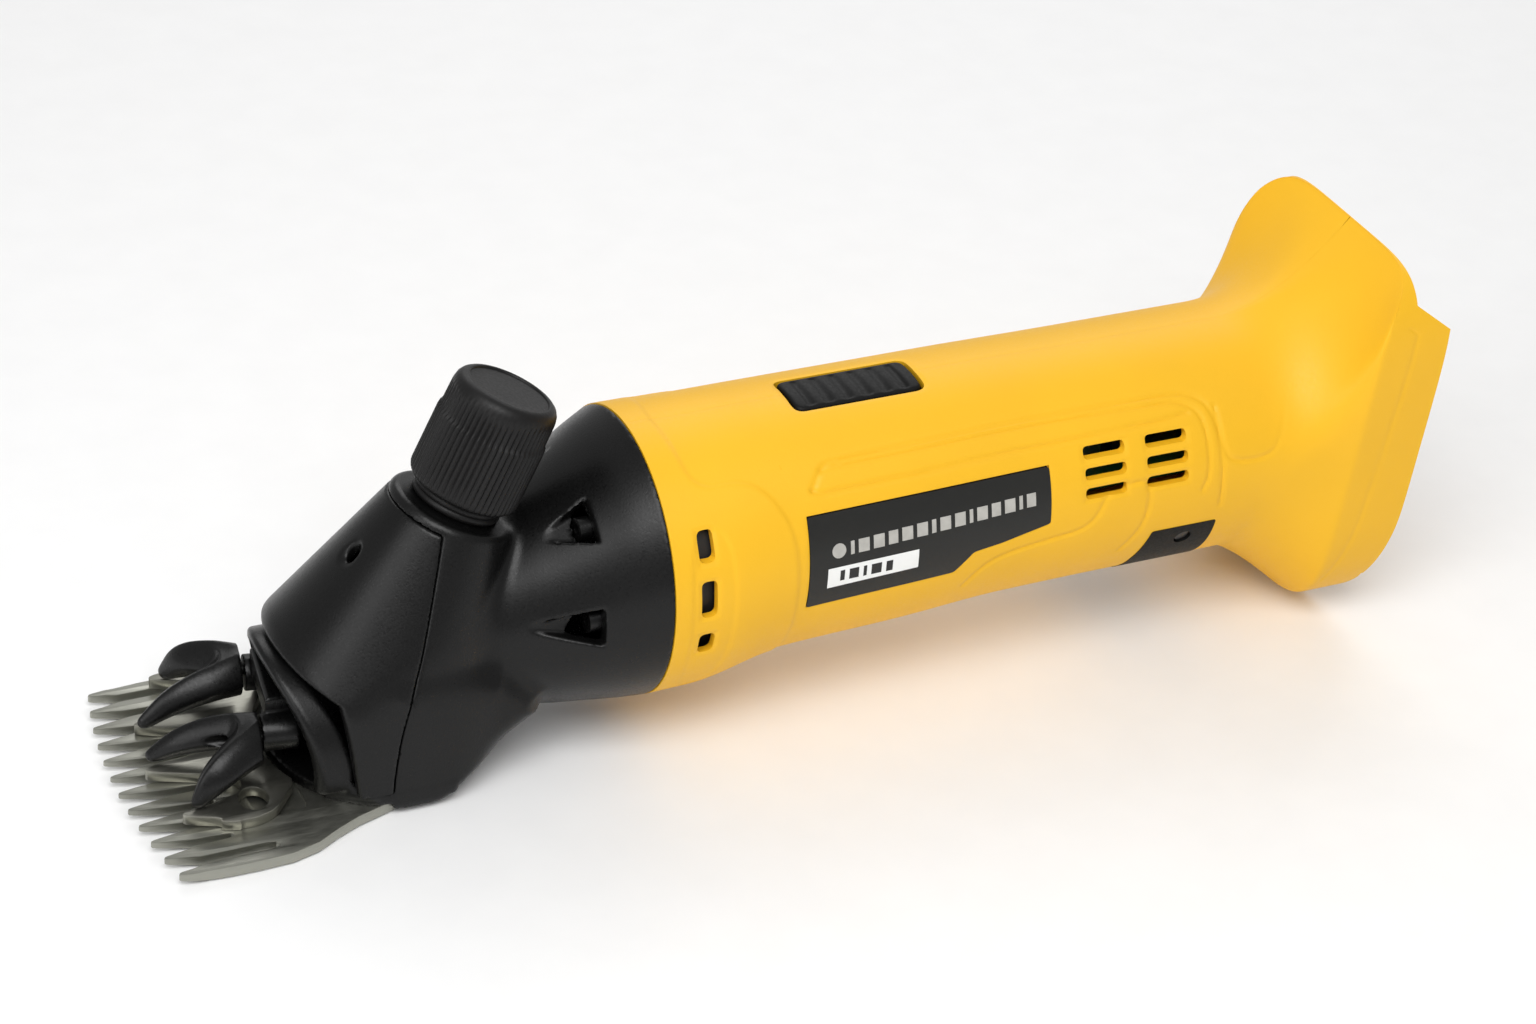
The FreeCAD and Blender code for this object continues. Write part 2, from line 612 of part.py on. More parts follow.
def mouth_band():
    """Arched band that stands on the bed inside the mouth, clear of the fork and the cutter."""
    near, far = BAND_REACH
    shell = upright(far, NOSE_CENTRE_X, -60, 0).cut(upright(near, NOSE_CENTRE_X, -61, 1))
    arch = tube_x(BAND_OUTER, BAND_INNER, -100, -70, 0, BAND_Z).common(shell)
    above = arch.common(block(-110, -60, -30, 30, BED_TOP + 0.7, 0))
    foot = arch.common(upright(BED_RADIUS, PIVOT_X, COMB_TOP, BED_TOP + 0.8))
    return above.fuse(foot)


def scoop(angle, seat_x):
    """Screw pocket in the bell: it deepens rearwards and ends in a wall for the screw's head."""
    outline = [(seat_x, 21.5), (seat_x, 45), (seat_x - 24, 45), (seat_x - 19, 30)]
    cut = side_prism(outline, -4.6, 4.6)
    cut.rotate(Vector(0, 0, 0), X_AXIS, 90 - angle)
    cut.translate(Vector(0, 0, SCOOP_Z))
    return cut


def screw_place(angle):
    """Offset (y, z) of a head screw on the tool's left."""
    a = math.radians(angle)
    return -SCOOP_RING * math.cos(a), SCOOP_RING * math.sin(a) + SCOOP_Z


def head_screw(angle, seat_x):
    """Long screw from the pocket's wall back into the barrel's shroud."""
    y, z = screw_place(angle)
    head = rod_x(3.0, seat_x - 3.0, seat_x, y, z).cut(rod_x(1.5, seat_x - 4, seat_x - 1.5, y, z))
    return head.fuse(rod_x(1.9, seat_x, 3.0, y, z))


def screw_seat(angle, seat_x):
    """Thick part of the bell round a head screw."""
    y, z = screw_place(angle)
    return rod_x(5.5, seat_x, 0, y, z).common(round_loft(BELL))


def head():
    solid = head_outside().cut(head_inside())
    region = front_of_seam()
    low = block(-130, -68.2, -60, 60, -60, BED_TOP + GAP)
    cover = solid.common(region).cut(side_prism(MOUTH, -60, 60)).cut(low)
    rear = solid.cut(region)
    sleeve = knob_rod(SLEEVE_RADIUS, -10, 18)
    pockets = []
    screws = []
    seats = []
    for angle, seat_x in SCOOPS:
        pockets += pair(scoop(angle, seat_x))
        screws += pair(head_screw(angle, seat_x))
        seats += pair(screw_seat(angle, seat_x))
    plate = rod_x(PLATE_RADIUS, PLATE_X[0], PLATE_X[1])
    pin_bore = knob_rod(BORE_RADIUS, -14, 0)
    crank_hole = rod_x(8.0, -32, -24, 0, CRANK_Z)
    casting = fuse([rear, comb_bed(), mouth_band(), knob_rod(12.5, -11, 0)] + seats)
    cuts = pockets + [crank_hole, sleeve, pin_bore, plate, comb_plate()] + screws + comb_screw_set()
    casting = casting.cut(fuse(cuts))
    save("head_casting", casting)
    comb_room = block(-110, -50, -45, 45, HEAD_BOTTOM - 2, COMB_TOP + GAP)
    oil_hole = rod(1.7, Vector(-72, -2, 25), Vector(-66, -2, -5))
    save("head_cover", cover.cut(fuse([oil_hole, casting, comb_room] + comb_screw_set())))
    save("head_screws", screws)
    openings = [rod_x(4.2, -5, 5), rod_x(6.6, -5, 5, 0, CRANK_Z)]
    save("gear_plate", plate.cut(fuse(openings + screws)))
    post = upright(4.5, PIVOT_X, BED_TOP, -33)
    save("centre_post", post.fuse(Part.makeSphere(4.4, Vector(PIVOT_X, 0, POST_BALL_Z))))


# ---------------------------------------------------------------- tension set
def tension():
    sleeve = knob_rod(SLEEVE_RADIUS, -10, 18)
    save("tension_sleeve", sleeve.cut(knob_rod(BORE_RADIUS, -20, 30)))
    rings = [Part.makeTorus(10.2, 1.2, along_knob(d), KNOB_DIR) for d in (1.3, 3.0)]
    save("neck_rings", [ring.cut(sleeve) for ring in rings])
    lift = (PIN_BALL_Z - COLLAR.z) / KNOB_DIR.z
    pin = knob_rod(PIN_RADIUS, lift, 25)
    save("tension_pin", pin.fuse(Part.makeSphere(PIN_RADIUS, along_knob(lift))))
    top = KNOB_LOW + KNOB_HEIGHT
    skirt = knob_rod(KNOB_RADIUS, KNOB_LOW, KNOB_LOW + KNOB_HEIGHT * 0.62)
    cap = skirt.fuse(knob_rod(KNOB_RADIUS - 0.5, KNOB_LOW + 4, top))
    cap = cap.makeFillet(2.6, [e for e in cap.Edges if e.BoundBox.ZMax > 55 and e.Length > 40])
    cap = cap.cut(knob_rod(SLEEVE_RADIUS + 0.35, 0, 19.5)).cut(knob_rod(12.2, 0, KNOB_LOW + 0.4))
    cap = cap.cut(knob_rod(BORE_RADIUS, 0, 25.1))
    grooves = []
    for i in range(KNOB_GROOVES):
        groove = knob_rod(0.5, KNOB_LOW - 1, top - 3)
        groove.translate(Vector(0, KNOB_RADIUS, 0))
        groove.rotate(COLLAR, KNOB_DIR, 360.0 * i / KNOB_GROOVES)
        grooves.append(groove)
    save("tension_knob", cap.cut(Part.makeCompound(grooves)))


# ---------------------------------------------------------------- fork and claws
def horn(stations):
    """Tapering curved finger through circles that face along its path."""
    centres = [Vector(x, y, z) for x, y, z, r in stations]
    wires = []
    for i, (x, y, z, r) in enumerate(stations):
        way = centres[min(i + 1, len(centres) - 1)] - centres[max(i - 1, 0)]
        if i == len(stations) - 1:
            way = Vector(0, 0, -1)
        wires.append(Part.Wire([Part.Edge(Part.Circle(centres[i], way, r))]))
    return Part.makeLoft(wires, True, False)


def claw():
    """Two-fingered claw on the tool's right, at mid stroke."""
    hub = rod_x(5.4, -99, -94.2, CLAW_Y, CLAW_Z)
    body = fuse([hub, horn(OUTER_HORN), horn(INNER_HORN)])
    return body.cut(rod_x(CLAW_PIN_RADIUS + 0.05, -104, -90, CLAW_Y, CLAW_Z))


def fork_body():
    """Fork at mid stroke: hub, front arm with a lug for each claw, and a tail round the crank's roller."""
    hub = upright(9.0, PIVOT_X, FORK_BOTTOM, FORK_TOP)
    arm = plan_prism([(-58, -8.5), (-58, 8.5), (-92, 11.5), (-92, -11.5)], -28.0, ARM_TOP)
    slope = side_prism([(-66, ARM_TOP), (-86, ARM_TOP), (-66, -18)], -8, 8)
    lug = block(-92.8, -84, 9, 16.5, -34, -27)
    tail = plan_prism([(-40, -7.5), (-40, 7.5), (-60, 8.5), (-60, -8.5)], -27.0, -17.6)
    tail_end = block(-49.5, -40, -7.5, 7.5, -27, -6).cut(block(-55, -30, -4.3, 4.3, -40, 0))
    tail = tail.fuse(tail_end).common(upright(14.8, PIVOT_X, -50, 10))
    cups = [Part.makeSphere(PIN_RADIUS + 0.06, Vector(PIVOT_X, 0, PIN_BALL_Z)),
            Part.makeSphere(4.5, Vector(PIVOT_X, 0, POST_BALL_Z))]
    holes = pair(rod_x(CLAW_PIN_RADIUS, -96, -87, CLAW_Y, CLAW_Z))
    return fuse([hub, arm, slope, tail] + pair(lug)).cut(fuse(cups + holes))


def cutter_tooth(y):
    """One blunt pointed prong that reaches forward from the cutter's band."""
    tip = PIVOT_X - math.sqrt(CUTTER_TIP_REACH ** 2 - y ** 2)
    left = [(tip, y - 0.8), (tip + 9, y - 3.2), (CUTTER_ROOT_X, y - 5.2)]
    right = [(CUTTER_ROOT_X, y + 5.2), (tip + 9, y + 3.2), (tip, y + 0.8)]
    return plan_prism(left + right, CUTTER_BOTTOM, CUTTER_TOP)


def cutter():
    half = 33.0
    teeth = [cutter_tooth((i - 1.5) * CUTTER_PITCH) for i in range(4)]
    front = [(CUTTER_ROOT_X - 0.5, -half), (CUTTER_ROOT_X - 0.5, half)]
    rear = [(-97, half - 1), (-86, 24), (-80, 0), (-86, -24), (-97, 1 - half)]
    band = plan_prism(front + rear, CUTTER_BOTTOM, CUTTER_TOP)
    band = band.cut(upright(CUTTER_CLEAR, PIVOT_X, -45, -35))
    gaps = []
    for y in (-CUTTER_PITCH, 0, CUTTER_PITCH):
        gaps.append(rod(4.3, Vector(-104.5, y, -45), Vector(-104.5, y, -35)))
    eyes = pair(rod(3.6, Vector(-95.5, 21, -45), Vector(-95.5, 21, -35)))
    return fuse(teeth + [band]).cut(fuse(gaps + eyes))


def shearing_set():
    save("fork", swung(fork_body()))
    claw_shape = claw()
    save("claw_right", swung(claw_shape))
    save("claw_left", swung(mirrored(claw_shape)))
    save("claw_pins", [swung(s) for s in pair(rod_x(CLAW_PIN_RADIUS, -98.6, -88, CLAW_Y, CLAW_Z))])
    save("cutter", swung(cutter()))
    comb()


def comb_screw_set():
    screws = []
    for y in COMB_SCREW_Y:
        foot = Vector(COMB_SCREW_X, y, COMB_BOTTOM)
        head = Part.makeCone(4.2, 2.2, 2.0, foot, Z_AXIS)
        screws.append(head.fuse(rod(2.2, foot, foot + Z_AXIS * 10)))
    return screws


def comb_plate():
    """The comb before its teeth are cut."""
    ring = COMB_EDGE + [(x, -y) for x, y in COMB_EDGE[::-1]]
    plate = plan_prism(ring, COMB_BOTTOM, COMB_TOP)
    tips = upright(COMB_TIP_RADIUS, COMB_TIP_X + COMB_TIP_RADIUS, -50, -40)
    under = [(-140, -40), (-140, -43.0), (-131, -43.6), (-116, COMB_BOTTOM), (-50, COMB_BOTTOM), (-50, -40)]
    return plate.common(tips).common(side_prism(under, -60, 60))


def comb_slot(y, root_x):
    """Gap between two of the comb's teeth, open to the front."""
    right = [(root_x, y + 0.5), (-118, y + 1.4), (-132, y + 3.0)]
    left = [(-132, y - 3.0), (-118, y - 1.4), (root_x, y - 0.5)]
    return plan_prism(right + left, -50, -40)


def comb():
    middle = (COMB_TEETH - 2) / 2
    slots = []
    for i in range(COMB_TEETH - 1):
        root_x = OUTER_ROOT_X if i in (0, COMB_TEETH - 2) else SLOT_ROOT_X
        slots.append(comb_slot((i - middle) * TOOTH_PITCH, root_x))
    edge = plan_prism([(-112, 39.8), (-132, 37.2), (-132, 45), (-112, 45)], -50, -40)
    hollow = block(-101, -88, -24, 24, COMB_TOP - 0.8, COMB_TOP + 1)
    save("comb", comb_plate().cut(fuse(slots + pair(edge) + [hollow] + comb_screw_set())))
    save("comb_screws", comb_screw_set())


# ---------------------------------------------------------------- electrics
def terminal_body():
    """Block set into the bay's floor, with a nose over the contact blades."""
    base = block(BAY_FLOOR_X - 9, BAY_FLOOR_X, -21, 21, 12, 36)
    nose = block(BAY_FLOOR_X, BAY_FLOOR_X + 6.5, -19, 19, 22, 36)
    return base.fuse(nose)


def electrics():
    blades = []
    for y in (-12, -2, 12):
        blades.append(block(BAY_FLOOR_X - 4, BAY_FLOOR_X + 4.5, y - 0.4, y + 0.4, 14, 27))
    save("terminal_block", terminal_body().cut(fuse(blades)))
    save("contact_blades", blades)
    save("control_board", block(112, 164, -17, 17, BOARD_BOTTOM, BOARD_TOP))
    module = block(118, 128, -6, 4, BOARD_TOP, 9)
    relay = block(134, 142, -10, -5, BOARD_TOP, 12)
    capacitor = rod(4.0, Vector(152, 6, BOARD_TOP), Vector(152, 6, 18))
    save("board_components", [module, relay, capacitor])


if __name__ == "__main__":
    os.makedirs("parts", exist_ok=True)
    body_shells()
    switch()
    motor()
    rotor()
    crank()
    bearings()
    head()
    tension()
    shearing_set()
    electrics()
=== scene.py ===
"""Looks of the cordless sheep shears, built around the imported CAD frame.

Shapes are worked out in the tool's own frame, in millimetres: X runs from the joint between the head
and the barrel (x = 0) towards the battery foot, Y to the tool's right, and Z up from the motor axis.
to_frame() turns them into the row frame, in metres, from the boxes of the CAD nodes.
"""
import math

import bmesh
import bpy
import numpy as np
from mathutils import Matrix, Vector


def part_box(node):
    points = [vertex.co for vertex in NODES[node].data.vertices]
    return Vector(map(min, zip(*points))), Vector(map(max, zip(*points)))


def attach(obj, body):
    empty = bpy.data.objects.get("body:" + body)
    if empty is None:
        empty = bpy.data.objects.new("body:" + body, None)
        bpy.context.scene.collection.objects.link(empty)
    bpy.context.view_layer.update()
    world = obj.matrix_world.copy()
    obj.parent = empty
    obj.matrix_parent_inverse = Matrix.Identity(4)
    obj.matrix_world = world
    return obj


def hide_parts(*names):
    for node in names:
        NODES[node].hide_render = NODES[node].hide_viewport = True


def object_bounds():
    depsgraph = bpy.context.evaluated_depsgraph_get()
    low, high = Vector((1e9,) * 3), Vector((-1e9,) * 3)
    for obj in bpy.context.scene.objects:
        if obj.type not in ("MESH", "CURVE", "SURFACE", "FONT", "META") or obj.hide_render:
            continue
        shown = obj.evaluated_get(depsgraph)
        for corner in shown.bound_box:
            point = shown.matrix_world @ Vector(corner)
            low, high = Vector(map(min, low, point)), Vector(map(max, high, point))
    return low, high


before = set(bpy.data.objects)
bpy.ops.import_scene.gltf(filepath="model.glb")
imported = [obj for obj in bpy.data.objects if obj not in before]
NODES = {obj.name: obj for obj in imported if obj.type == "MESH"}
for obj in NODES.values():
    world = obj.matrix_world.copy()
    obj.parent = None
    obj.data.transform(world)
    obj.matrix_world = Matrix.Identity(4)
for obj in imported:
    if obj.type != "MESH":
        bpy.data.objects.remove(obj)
cad_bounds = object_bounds()
MM = 0.001
TINY = 1e-9
SEAM_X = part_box("body_shell_left")[0].x
SHAFT_LOW, SHAFT_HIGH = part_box("motor_shaft")
ORIGIN = np.array([SEAM_X, 0.0, (SHAFT_LOW.z + SHAFT_HIGH.z) / 2])


def to_frame(points):
    """Tool-frame millimetres to row-frame metres."""
    return np.asarray(points, float) * MM + ORIGIN


def frame_box(node):
    """A CAD node's box in tool-frame millimetres."""
    low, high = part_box(node)
    return (np.array(low) - ORIGIN) / MM, (np.array(high) - ORIGIN) / MM


def linked(name, data):
    """New object in the scene."""
    obj = bpy.data.objects.new(name, data)
    bpy.context.scene.collection.objects.link(obj)
    return obj


def set_inputs(node, values):
    for name, value in values.items():
        node.inputs[name].default_value = value


def rectangle(a0, b0, a1, b1):
    return [(a0, b0), (a1, b0), (a1, b1), (a0, b1)]


# ---------------------------------------------------------------- camera, light and floor
AIM_OFFSET = (-1.35, 0, -6.2)  # from the middle of the CAD box, mm
AZIMUTH, ELEVATION, ROLL = (math.radians(a) for a in (-27.31, 32.38, 4.77))
DISTANCE = 0.947
LENS, SENSOR_WIDTH = 88.0, 36.0
WORLD_STRENGTH = 0.42
LIGHTS = [  # name, offset from the aim, size, power
    ("key", (-0.3, -0.6, 0.95), (0.9, 0.7), 10.0),
    ("side", (-1.1, -0.4, 0.5), (0.5, 0.8), 3.0),
    ("rim", (0.5, 0.9, 0.8), (1.2, 0.8), 5.0),
]
FLOOR_REACH, FLOOR_DROP = 4.0, 0.0004


def set_camera():
    low, high = cad_bounds
    aim = (Vector(low) + Vector(high)) / 2 + Vector(AIM_OFFSET) * MM
    tilt = Matrix.Rotation(math.pi / 2 - ELEVATION, 4, "X") @ Matrix.Rotation(ROLL, 4, "Z")
    turn = Matrix.Rotation(AZIMUTH, 4, "Z") @ tilt
    data = bpy.data.cameras.new("camera")
    data.lens = LENS
    data.sensor_width = SENSOR_WIDTH
    camera = linked("camera", data)
    camera.matrix_world = Matrix.Translation(aim) @ turn @ Matrix.Translation((0, 0, DISTANCE))
    bpy.context.scene.camera = camera
    return aim


def area_light(name, aim, offset, size, power):
    data = bpy.data.lights.new(name, "AREA")
    data.shape = "RECTANGLE"
    data.size, data.size_y = size
    data.energy = power
    turn = Vector(offset).to_track_quat("Z", "Y").to_matrix().to_4x4()
    linked(name, data).matrix_world = Matrix.Translation(aim + Vector(offset)) @ turn


def set_stage(aim):
    world = bpy.data.worlds.new("studio")
    world.use_nodes = True
    set_inputs(world.node_tree.nodes["Background"], {"Color": (1, 1, 1, 1), "Strength": WORLD_STRENGTH})
    bpy.context.scene.world = world
    for name, offset, size, power in LIGHTS:
        area_light(name, aim, offset, size, power)
    height = cad_bounds[0][2] - FLOOR_DROP
    corners = rectangle(-FLOOR_REACH, -FLOOR_REACH, FLOOR_REACH, FLOOR_REACH)
    mesh = bpy.data.meshes.new("floor")
    mesh.from_pydata([(x, y, height) for x, y in corners], [], [(0, 1, 2, 3)])
    floor = linked("floor", mesh)
    floor.data.materials.append(surface("studio_floor", (0.90, 0.90, 0.90), 0.6, vary=0.01, grain=0.0))
    bpy.context.scene.view_settings.view_transform = "Standard"


# ---------------------------------------------------------------- materials
NOISE_LOW, NOISE_HIGH = 0.3, 0.7  # the part of the noise that is spread out
GLOSSIEST, ROUGH_VARY = 0.03, 0.06
MOULDED = {"grain": 0.5, "grain_scale": 1500.0}
GROUND = {"metal": 0.95, "grain": 0.25, "grain_depth": 0.00002, "stretch": (0.12, 1, 1)}
FINISHES = {  # name, sRGB colour, roughness, the rest
    "yellow": ("yellow_plastic", (238, 182, 30), 0.48,
               dict(MOULDED, specular=0.35, vary=0.03, vary_scale=25)),
    "black_cast": ("black_casting", (9, 9, 9), 0.33,
                   dict(specular=0.3, vary=0.2, grain=0.7, grain_scale=1900.0)),
    "knob": ("knob_plastic", (15, 14, 14), 0.48, dict(MOULDED, specular=0.3, vary=0.12)),
    "switch": ("switch_plastic", (12, 12, 12), 0.5, dict(MOULDED, specular=0.18, vary=0.12)),
    "plate": ("nameplate_film", (30, 30, 28), 0.42,
              dict(specular=0.35, vary=0.06, grain=0.15, grain_scale=900.0)),
    "pad": ("pad_rubber", (13, 13, 12), 0.6, dict(MOULDED, specular=0.2, vary=0.12)),
    "black_plastic": ("black_plastic", (30, 30, 30), 0.5, dict(MOULDED, vary=0.1)),
    "black_steel": ("black_steel", (9, 9, 9), 0.32,
                    dict(specular=0.32, vary=0.2, grain=0.5, grain_scale=1400.0)),
    "comb_steel": ("ground_steel", (158, 158, 149), 0.36, dict(GROUND, vary=0.12, vary_scale=70)),
    "cutter_steel": ("cutter_steel", (150, 149, 140), 0.34, dict(GROUND, vary=0.15, vary_scale=90)),
    "screw": ("screw_steel", (60, 60, 60), 0.35, dict(metal=1.0, vary=0.15, grain=0.2)),
    "bright": ("bright_steel", (190, 190, 188), 0.25, dict(metal=1.0, vary=0.08, grain=0.15)),
    "copper": ("copper_wire", (190, 110, 70), 0.3,
               dict(metal=1.0, vary=0.15, grain=0.5, grain_scale=600.0, stretch=(1, 6, 6))),
    "magnet": ("ferrite", (52, 52, 56), 0.6, dict(vary=0.1)),
    "board": ("circuit_board", (28, 92, 52), 0.4, dict(vary=0.15, vary_scale=300)),
    "label": ("label_paper", (238, 239, 237), 0.5, dict(vary=0.02, grain=0.1)),
    "print": ("print_grey", (176, 174, 168), 0.45, dict(vary=0.1, vary_scale=400, grain=0.1)),
    "ink": ("print_black", (24, 24, 24), 0.5, dict(vary=0.1, grain=0.1)),
}
NODE_FINISH = {  # every other node is bright steel
    "yellow": ["body_shell_left", "body_shell_right"],
    "black_cast": ["head_casting", "head_cover", "gear_plate", "centre_post", "head_screws"],
    "knob": ["tension_knob", "neck_rings"],
    "switch": ["switch_rocker"],
    "plate": ["nameplate"],
    "pad": ["underside_pad"],
    "black_plastic": ["terminal_block", "switch_body", "fan_shroud", "cooling_fan", "motor_end_cap",
                      "board_components"],
    "black_steel": ["fork", "claw_left", "claw_right", "claw_pins"],
    "comb_steel": ["comb"],
    "cutter_steel": ["cutter"],
    "screw": ["shell_screws", "pad_screws", "comb_screws"],
    "copper": ["armature_windings", "commutator", "carbon_brushes", "brush_holders", "contact_blades"],
    "magnet": ["motor_magnets"],
    "board": ["control_board"],
}


def linear(colour):
    """sRGB 0-255 to linear."""
    out = []
    for c in colour:
        c /= 255
        out.append(c / 12.92 if c <= 0.04045 else ((c + 0.055) / 1.055) ** 2.4)
    return tuple(out)


def surface(name, colour, rough, metal=0.0, vary=0.08, vary_scale=60.0, grain=0.06, grain_scale=2600.0,
            grain_depth=0.00004, stretch=(1, 1, 1), specular=0.5):
    """Moulded, cast or ground surface: cloudy colour variation, uneven gloss and a fine grain."""
    mat = bpy.data.materials.new(name)
    mat.use_nodes = True
    nodes = mat.node_tree.nodes
    link = mat.node_tree.links.new
    shader = nodes["Principled BSDF"]
    set_inputs(shader, {"Metallic": metal, "Specular IOR Level": specular})
    coords = nodes.new("ShaderNodeTexCoord")
    mapping = nodes.new("ShaderNodeMapping")
    set_inputs(mapping, {"Scale": stretch})
    link(coords.outputs["Object"], mapping.inputs["Vector"])

    def noise(scale, detail):
        node = nodes.new("ShaderNodeTexNoise")
        set_inputs(node, {"Scale": scale, "Detail": detail})
        link(mapping.outputs["Vector"], node.inputs["Vector"])
        return node.outputs["Fac"]

    def spread(value, low, high):
        node = nodes.new("ShaderNodeMapRange")
        set_inputs(node, {"From Min": NOISE_LOW, "From Max": NOISE_HIGH, "To Min": low, "To Max": high})
        link(value, node.inputs["Value"])
        return node.outputs["Result"]

    mix = nodes.new("ShaderNodeMix")
    mix.data_type = "RGBA"
    set_inputs(mix, {"A": tuple(c * (1 - vary) for c in colour) + (1,),
                     "B": tuple(min(1.0, c * (1 + vary)) for c in colour) + (1,)})
    link(spread(noise(vary_scale, 3.0), 0.0, 1.0), mix.inputs["Factor"])
    link(mix.outputs["Result"], shader.inputs["Base Color"])
    fine = noise(grain_scale, 2.0)
    gloss = spread(fine, max(GLOSSIEST, rough - ROUGH_VARY), min(1.0, rough + ROUGH_VARY))
    link(gloss, shader.inputs["Roughness"])
    if grain > 0:
        bump = nodes.new("ShaderNodeBump")
        set_inputs(bump, {"Strength": grain, "Distance": grain_depth})
        link(fine, bump.inputs["Height"])
        link(bump.outputs["Normal"], shader.inputs["Normal"])
    return mat


def make_materials():
    return {key: surface(name, linear(colour), rough, **rest)
            for key, (name, colour, rough, rest) in FINISHES.items()}


def finish_nodes(mats):
    keys = {name: key for key, names in NODE_FINISH.items() for name in names}
    for name, node in NODES.items():
        node.data.materials.clear()
        node.data.materials.append(mats[keys.get(name, "bright")])


# ---------------------------------------------------------------- mesh helpers
WELD = 1e-6  # metres
CORNER_SHARE = 0.45  # most of an edge that a rounded corner may take
NET_CREASE = 45.0  # degrees
PROBE, LEAST_SLOPE, LONGEST_MOVE, SETTLE_ROUNDS = 0.02, 0.2, 0.35, 3


def new_object(name, points, faces, smooth=True):
    mesh = bpy.data.meshes.new(name)
    mesh.from_pydata(to_frame(points).tolist(), [], [tuple(int(i) for i in f) for f in faces])
    mesh.validate()
    mesh.update()
    if smooth:
        mesh.shade_smooth()
    return linked(name, mesh)


def duplicate(obj):
    return linked(obj.name, obj.data.copy())


def place(obj, body, mat, slot_name, *nodes):
    """Finishes a piece, puts it on its body and hides the CAD nodes that it stands for."""
    obj.data.materials.clear()
    obj.data.materials.append(mat)
    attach(obj, body)
    if nodes:
        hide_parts(*nodes)
    return obj


def apply_modifiers(obj):
    graph = bpy.context.evaluated_depsgraph_get()
    mesh = bpy.data.meshes.new_from_object(obj.evaluated_get(graph))
    old = obj.data
    obj.modifiers.clear()
    obj.data = mesh
    mesh.name = obj.name
    bpy.data.meshes.remove(old)


def boolean(obj, others, operation):
    """Combines closed meshes; the others are used up."""
    for other in others:
        mod = obj.modifiers.new("cut", "BOOLEAN")
        mod.operation = operation
        mod.solver = "MANIFOLD"
        mod.object = other
        apply_modifiers(obj)
        bpy.data.objects.remove(other)
    return obj


def sharpen(obj, degrees=32.0):
    """Smooth shading with creases kept where faces meet at more than this angle."""
    obj.data.shade_smooth()
    obj.data.set_sharp_from_angle(angle=math.radians(degrees))
    return obj


def outward(obj, weld=0.0):
    """Turns all faces outwards, after welding points closer than weld."""
    work = bmesh.new()
    work.from_mesh(obj.data)
    if weld:
        bmesh.ops.remove_doubles(work, verts=work.verts, dist=weld)
    bmesh.ops.recalc_face_normals(work, faces=work.faces)
    work.to_mesh(obj.data)
    work.free()
    return obj


def take_in(obj, other):
    """Adds the other object's faces to this one; the other object is used up."""
    work = bmesh.new()
    work.from_mesh(obj.data)
    work.from_mesh(other.data)
    work.to_mesh(obj.data)
    work.free()
    bpy.data.objects.remove(other)


def box_mesh(name, low, high):
    (x0, y0, z0), (x1, y1, z1) = low, high
    points = [(x, y, z) for x in (x0, x1) for y in (y0, y1) for z in (z0, z1)]
    faces = [(0, 1, 3, 2), (4, 6, 7, 5), (0, 4, 5, 1), (2, 3, 7, 6), (0, 2, 6, 4), (1, 5, 7, 3)]
    return new_object(name, points, faces, False)


def prism_mesh(name, outline, way, start):
    """Closed prism: outline points (3-D) from start to start + way."""
    base = np.asarray(outline, float) + np.asarray(start, float)
    count = len(base)
    points = np.vstack([base, base + np.asarray(way, float)])
    faces = [tuple(range(count - 1, -1, -1)), tuple(range(count, 2 * count))]
    faces += [(i, (i + 1) % count, count + (i + 1) % count, count + i) for i in range(count)]
    return outward(new_object(name, points, faces, False))


def side_prism(name, outline, y0, y1):
    return prism_mesh(name, [(x, 0, z) for x, z in outline], (0, y1 - y0, 0), (0, y0, 0))


def rod_mesh(name, start, end, radius, count=28):
    start, end = np.asarray(start, float), np.asarray(end, float)
    way = end - start
    unit = way / np.linalg.norm(way)
    helper = np.array([0, 0, 1.0]) if abs(unit[2]) < 0.9 else np.array([1.0, 0, 0])
    side = np.cross(unit, helper)
    side /= np.linalg.norm(side)
    other = np.cross(unit, side)
    angles = np.arange(count) * 2 * np.pi / count
    ring = [side * math.cos(a) * radius + other * math.sin(a) * radius for a in angles]
    return prism_mesh(name, ring, way, start)


def grid_faces(rows, columns):
    """Quads between closed rings of points, and the number of each point."""
    index = np.arange(rows * columns).reshape(rows, columns)
    right = np.roll(index, -1, 1)
    quads = np.stack([index[:-1], right[:-1], right[1:], index[1:]], 2).reshape(-1, 4)
    return [tuple(f) for f in quads], index


def rounded(outline, radius, steps=5):
    """Rounds the corners of a closed outline."""
    pts = np.asarray(outline, float)
    out = []
    for i in range(len(pts)):
        before, here, after = pts[i - 1], pts[i], pts[(i + 1) % len(pts)]
        to_before, to_after = before - here, after - here
        len_b, len_a = np.linalg.norm(to_before), np.linalg.norm(to_after)
        cut = min(radius, len_b * CORNER_SHARE, len_a * CORNER_SHARE)
        start, end = here + to_before / len_b * cut, here + to_after / len_a * cut
        for k in range(steps + 1):
            t = k / steps
            out.append(start * (1 - t) ** 2 + here * 2 * t * (1 - t) + end * t * t)
    return np.array(out)


def softened(points, rounds=3, closed=False):
    """Corner cutting on a line."""
    pts = np.asarray(points, float)
    for _ in range(rounds):
        following = np.roll(pts, -1, 0)
        a = pts * 0.75 + following * 0.25
        b = pts * 0.25 + following * 0.75
        new = np.stack([a, b], 1).reshape(-1, 2)
        pts = new if closed else np.vstack([pts[:1], new[:-2], pts[-1:]])
    return pts


def both_sides(half, y=0.0):
    """Outline about the line at y from the points of one half; a point on the line is used once."""
    mirrored = [(x, -h) for x, h in half[::-1] if h > 0]
    return [(x, y + h) for x, h in half + mirrored]


